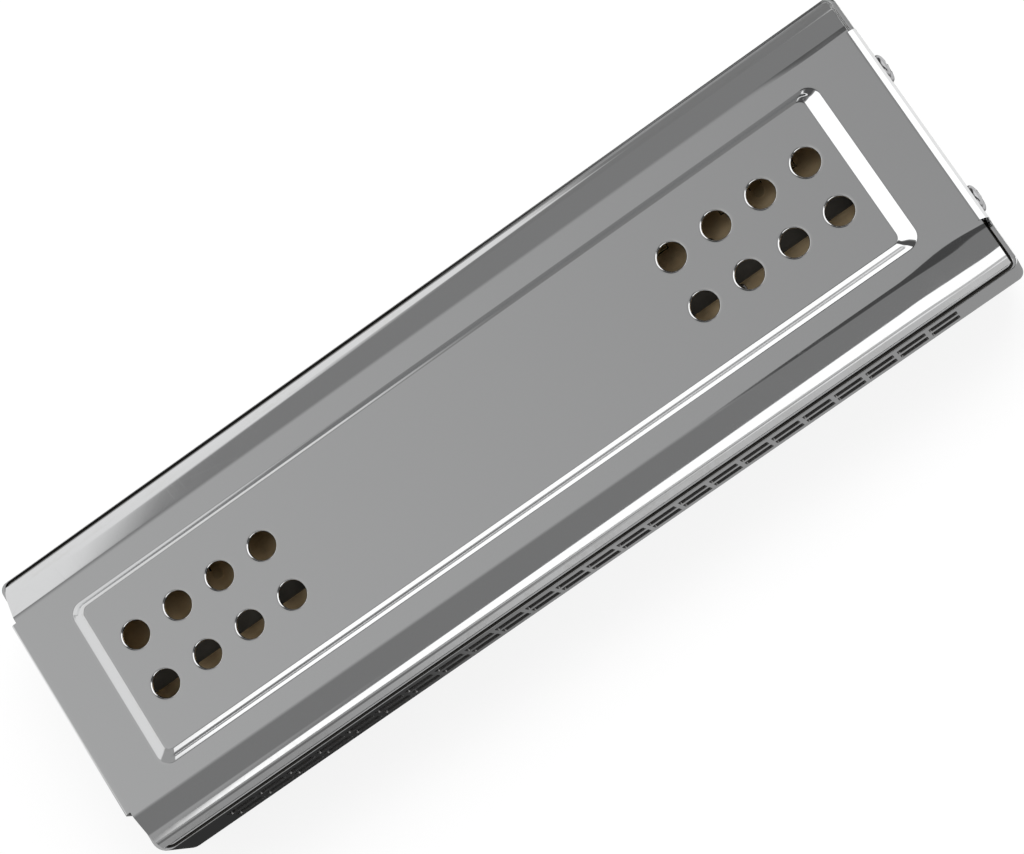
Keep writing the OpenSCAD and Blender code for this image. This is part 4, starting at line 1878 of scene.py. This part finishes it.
@dataclass
class Studio:
    """Plain pale floor, soft light and the camera at the photograph's angle."""

    camera_place: Point = (80.73, -114.61, 534.253)
    camera_target: Point = (4.664, -3.191, 28.677)
    camera_roll: float = 33.23
    camera_reach: Flat = (0.01, 50.0)
    lens: float = 107.4
    sensor: float = 36.0
    floor_half: float = 4.0
    floor_colour: Colour = (0.9, 0.9, 0.9, 1.0)
    floor_white: float = 0.85
    floor_shade: float = 0.16
    world_level: float = 0.62
    key_power: float = 7.5
    key_size: Flat = (0.7, 0.5)
    key_place: Point = (0.3, 0.42, 0.7)
    key_target: Point = (0.0, 0.0, 0.01)
    overhead_span: Flat = (-0.35, 0.25)
    overhead: Flat = (0.43, 0.235)
    cards: tuple[SoftCard, ...] = (
        SoftCard("Left light", 180.0, 36.0, 83.0, 110.0, 5.0, 0.76),
        SoftCard("Front grey", -90.0, 60.0, 26.0, 125.0, 30.0, 0.19),
        SoftCard("Front left", -140.0, 32.5, 54.0, 110.0, 6.0, 0.33),
        SoftCard("Front white", -90.0, 17.5, 48.0, 110.0, 2.5, 1.2, lean=-1.35),
        SoftCard("Rear grey", 90.0, 60.0, 42.0, 130.0, 36.0, 0.21),
        SoftCard("Rear left light", 132.5, 22.5, 58.0, 110.0, 3.0, 0.76, slant=-0.3),
        SoftCard("Rear dark", 70.0, 20.3, 19.0, 58.0, 3.0, 0.05),
        SoftCard("Front dark", -88.0, 26.0, 6.0, 39.0, 4.0, 0.06, slant=0.7),
        SoftCard("Rear corner dark", 58.0, 14.0, 45.0, 110.0, 6.0, 0.08),
        SoftCard("Front corner dark", -58.0, 14.0, 38.0, 110.0, 6.0, 0.08),
        SoftCard("Right white", 0.0, 37.0, 20.0, 110.0, 5.0, 1.25),
    )
    floor_patches: tuple[FloorPatch, ...] = (
        FloorPatch("Front, right", 0.85, x_ramp=(-0.06, 0.065)),
        FloorPatch("Front, far left", 0.31, y_ramp=(-0.12, -0.2)),
        FloorPatch("Front, far right", 0.53, x_ramp=(-0.12, -0.03), y_ramp=(-0.12, -0.2)),
        FloorPatch("Front, band", 0.16, x_ramp=(0.085, 0.045), y_ramp=(-0.2, -0.175)),
        FloorPatch("Front, close, right", 0.85, x_ramp=(-0.06, 0.065), y_ramp=(-0.152, -0.142)),
        FloorPatch("Under the front edge, right", 0.29, y_ramp=(-0.07, -0.045)),
        FloorPatch("Under the front edge", 0.03, x_ramp=(0.005, -0.05), y_ramp=(-0.07, -0.045)),
        FloorPatch("Beside the left end", 0.35, x_ramp=(-0.095, -0.105), y_ramp=(-0.035, -0.03)),
        FloorPatch("Rear, right", 0.2, y_ramp=(-0.005, 0.01)),
        FloorPatch("Rear, left", 0.76, x_ramp=(0.104, 0.08), y_ramp=(-0.005, 0.01), shear=1.0),
        FloorPatch("Rear, far left", 0.76, x_ramp=(0.03, -0.03), y_ramp=(-0.005, 0.01), shear=0.2),
        FloorPatch("Right", 0.9, x_ramp=(0.093, 0.103)),
    )

    def build(self) -> None:
        """Makes the floor, the light and the camera."""
        self._floor()
        self._world()
        self._key()
        self._camera()

    def _floor(self) -> None:
        """Adds the floor that the instrument lies on."""
        mesh = bpy.data.meshes.new("Studio_floor")
        half = self.floor_half
        places = [(-half, -half, 0), (half, -half, 0), (half, half, 0), (-half, half, 0)]
        mesh.from_pydata(places, [], [(0, 1, 2, 3)])
        floor = bpy.data.objects.new("Studio_floor", mesh)
        bpy.context.scene.collection.objects.link(floor)
        material = bpy.data.materials.new("Studio_paper")
        material.use_nodes = True
        material.node_tree.nodes.clear()
        nodes = Tree(material.node_tree)
        paper = nodes.add("BsdfDiffuse", {"Color": self.floor_colour})
        seen, mirrored = nodes.rays()
        strength = nodes.blend(mirrored, 1.0, self._floor_tone(nodes))
        share = nodes.math("MULTIPLY", seen, nodes.blend(mirrored, self.floor_white, 1.0))
        glow = nodes.add("Emission", {"Color": WHITE, "Strength": strength})
        mixed = nodes.add("MixShader", {0: share, 1: paper.outputs[0], 2: glow.outputs[0]})
        nodes.add("OutputMaterial", {"Surface": mixed.outputs[0]})
        mesh.materials.append(material)

    def _floor_tone(self, nodes: Tree) -> Socket:
        """Painted shadow and light on the floor, which only polished metal shows: soft patches laid one over
        another.

        Args:
            nodes: the floor's tree.

        Returns:
            The tone's socket.
        """
        place = nodes.add("TexCoord").outputs["Object"]
        parts = nodes.add("SeparateXYZ", {0: place}).outputs
        tone: Any = self.floor_shade
        for patch in self.floor_patches:
            mask: Any = 1.0
            if patch.x_ramp is not None:
                reach = nodes.math("MULTIPLY_ADD", parts[1], patch.shear, parts[0])
                mask = nodes.step(reach, *patch.x_ramp)
            if patch.y_ramp is not None:
                mask = nodes.math("MULTIPLY", mask, nodes.step(parts[1], *patch.y_ramp))
            tone = nodes.blend(mask, tone, patch.level)
        return tone

    def _world(self) -> None:
        """Makes the white surroundings, and the soft cards that polished metal shows overhead."""
        world = bpy.data.worlds.new("Studio_world")
        world.use_nodes = True
        world.node_tree.nodes.clear()
        bpy.context.scene.world = world
        nodes = Tree(world.node_tree)
        towards = nodes.add("TexCoord").outputs["Generated"]
        parts = nodes.add("SeparateXYZ", {0: towards}).outputs
        azimuth = nodes.math("ARCTAN2", parts[1], parts[0])
        polar = nodes.math("ARCCOSINE", parts[2])
        level: Any = nodes.add("MapRange", {
            "Value": parts[0], "From Min": self.overhead_span[0], "From Max": self.overhead_span[1],
            "To Min": self.overhead[0], "To Max": self.overhead[1],
        }).outputs["Result"]
        group = self._card_group()
        for card in self.cards:
            node = nodes.add("Group")
            node.node_tree = group
            node.name = node.label = card.name
            values = {
                "Azimuth": azimuth, "Polar": polar, "Centre": math.radians(card.azimuth),
                "Half Width": math.radians(card.half_width), "From": math.radians(card.polar_from),
                "To": math.radians(card.polar_to), "Softness": math.radians(card.softness),
                "Level": card.level, "Behind": level, "Lean": card.lean, "Slant": card.slant,
            }
            for name, value in values.items():
                nodes.feed(node.inputs[name], value)
            level = node.outputs["Level"]
        seen, mirrored = nodes.rays()
        plain = nodes.add("Background", {"Color": WHITE, "Strength": self.world_level})
        shown = nodes.add("Background", {"Color": WHITE, "Strength": nodes.blend(mirrored, 1.0, level)})
        whole = nodes.add("MixShader", {0: seen, 1: plain.outputs[0], 2: shown.outputs[0]})
        nodes.add("OutputWorld", {"Surface": whole.outputs[0]})

    @staticmethod
    def _card_group() -> bpy.types.NodeTree:
        """Makes the node group that lays one soft card over what is behind it.

        Returns:
            The group.
        """
        tree = bpy.data.node_groups.new("Soft card", "ShaderNodeTree")
        names = (
            "Azimuth", "Polar", "Centre", "Half Width", "From", "To", "Softness", "Level", "Behind",
            "Lean", "Slant",
        )
        for name in names:
            tree.interface.new_socket(name, in_out="INPUT", socket_type="NodeSocketFloat")
        tree.interface.new_socket("Level", in_out="OUTPUT", socket_type="NodeSocketFloat")
        given = tree.nodes.new("NodeGroupInput").outputs
        leave = tree.nodes.new("NodeGroupOutput")
        nodes = Tree(tree)
        half = nodes.math("MULTIPLY", given["Softness"], 0.5)
        less = nodes.math("MULTIPLY", half, -1.0)
        apart = nodes.math("SUBTRACT", given["Azimuth"], given["Centre"])
        apart = nodes.math("WRAP", apart, math.pi, -math.pi)
        drift = nodes.math("MULTIPLY", nodes.math("SUBTRACT", given["Polar"], given["From"]), given["Slant"])
        off = nodes.math("ABSOLUTE", nodes.math("SUBTRACT", apart, drift))
        beyond = nodes.math("SUBTRACT", off, given["Half Width"])
        side = nodes.math("SUBTRACT", 1.0, nodes.step(beyond, less, half))
        rise = nodes.math("MULTIPLY_ADD", nodes.math("MINIMUM", apart, 0.0), given["Lean"], given["From"])
        past = nodes.math("SUBTRACT", given["Polar"], rise)
        start = nodes.step(past, less, half)
        left = nodes.math("SUBTRACT", given["To"], given["Polar"])
        stop = nodes.step(left, less, half)
        mask = nodes.math("MULTIPLY", side, nodes.math("MULTIPLY", start, stop))
        nodes.feed(leave.inputs["Level"], nodes.blend(mask, given["Behind"], given["Level"]))
        return tree

    def _key(self) -> None:
        """Adds the large soft lamp behind and to the right."""
        lamp = bpy.data.lights.new("Key_softbox", "AREA")
        lamp.shape = "RECTANGLE"
        lamp.size, lamp.size_y = self.key_size
        lamp.energy = self.key_power
        key = bpy.data.objects.new("Key_softbox", lamp)
        key.location = self.key_place
        aim = Vector(self.key_target) - key.location
        key.rotation_euler = aim.to_track_quat("-Z", "Y").to_euler()
        key.visible_glossy = False
        key.visible_camera = False
        bpy.context.scene.collection.objects.link(key)

    def _camera(self) -> None:
        """Adds the camera, placed by its fit to the photograph's folds, holes and windows."""
        data = bpy.data.cameras.new("Photo_camera")
        data.lens = self.lens
        data.sensor_width = self.sensor
        data.sensor_fit = "HORIZONTAL"
        data.clip_start, data.clip_end = self.camera_reach
        camera = bpy.data.objects.new("Photo_camera", data)
        place, target = Vector(self.camera_place) * MM, Vector(self.camera_target) * MM
        ahead = (target - place).normalized()
        up = Vector((0.0, 1.0, 0.0))
        up = (up - ahead * up.dot(ahead)).normalized()
        right = ahead.cross(up)
        roll = math.radians(self.camera_roll)
        up_rolled = up * math.cos(roll) + right * math.sin(roll)
        right_rolled = ahead.cross(up_rolled)
        turn = Matrix((right_rolled, up_rolled, -ahead)).transposed()
        camera.matrix_world = Matrix.Translation(place) @ turn.to_4x4()
        bpy.context.scene.collection.objects.link(camera)
        bpy.context.scene.camera = camera


def corners(box: tuple[Vector, Vector]) -> list[list[float]]:
    """A box as plain lists of numbers."""
    return [[float(value) for value in corner] for corner in box]


def main() -> None:
    """Builds every piece in order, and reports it."""
    logging.basicConfig(level=logging.INFO, format="%(name)s: %(message)s")
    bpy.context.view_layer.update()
    bpy.context.scene.view_settings.view_transform = "Standard"
    Studio().build()
    log.info("studio ready")
    finishes = Finishes()
    builders: list[Any] = [Cover(level) for level in Level]
    builders += [Mouthpiece(side) for side in Side]
    builders += [CoverScrews(level, end) for level in Level for end in End]
    builders += [ReedTongues(level, side, breath) for level in Level for side in Side for breath in Breath]
    for builder in builders:
        piece = builder.build(finishes)
        log.info("%s: %d points", piece.name, len(piece.data.vertices))
    log.info("%d carried nodes dressed", CarriedNodes(frame["nodes"]).dress(finishes))
    bpy.context.view_layer.update()


if __name__ == "__main__":
    main()
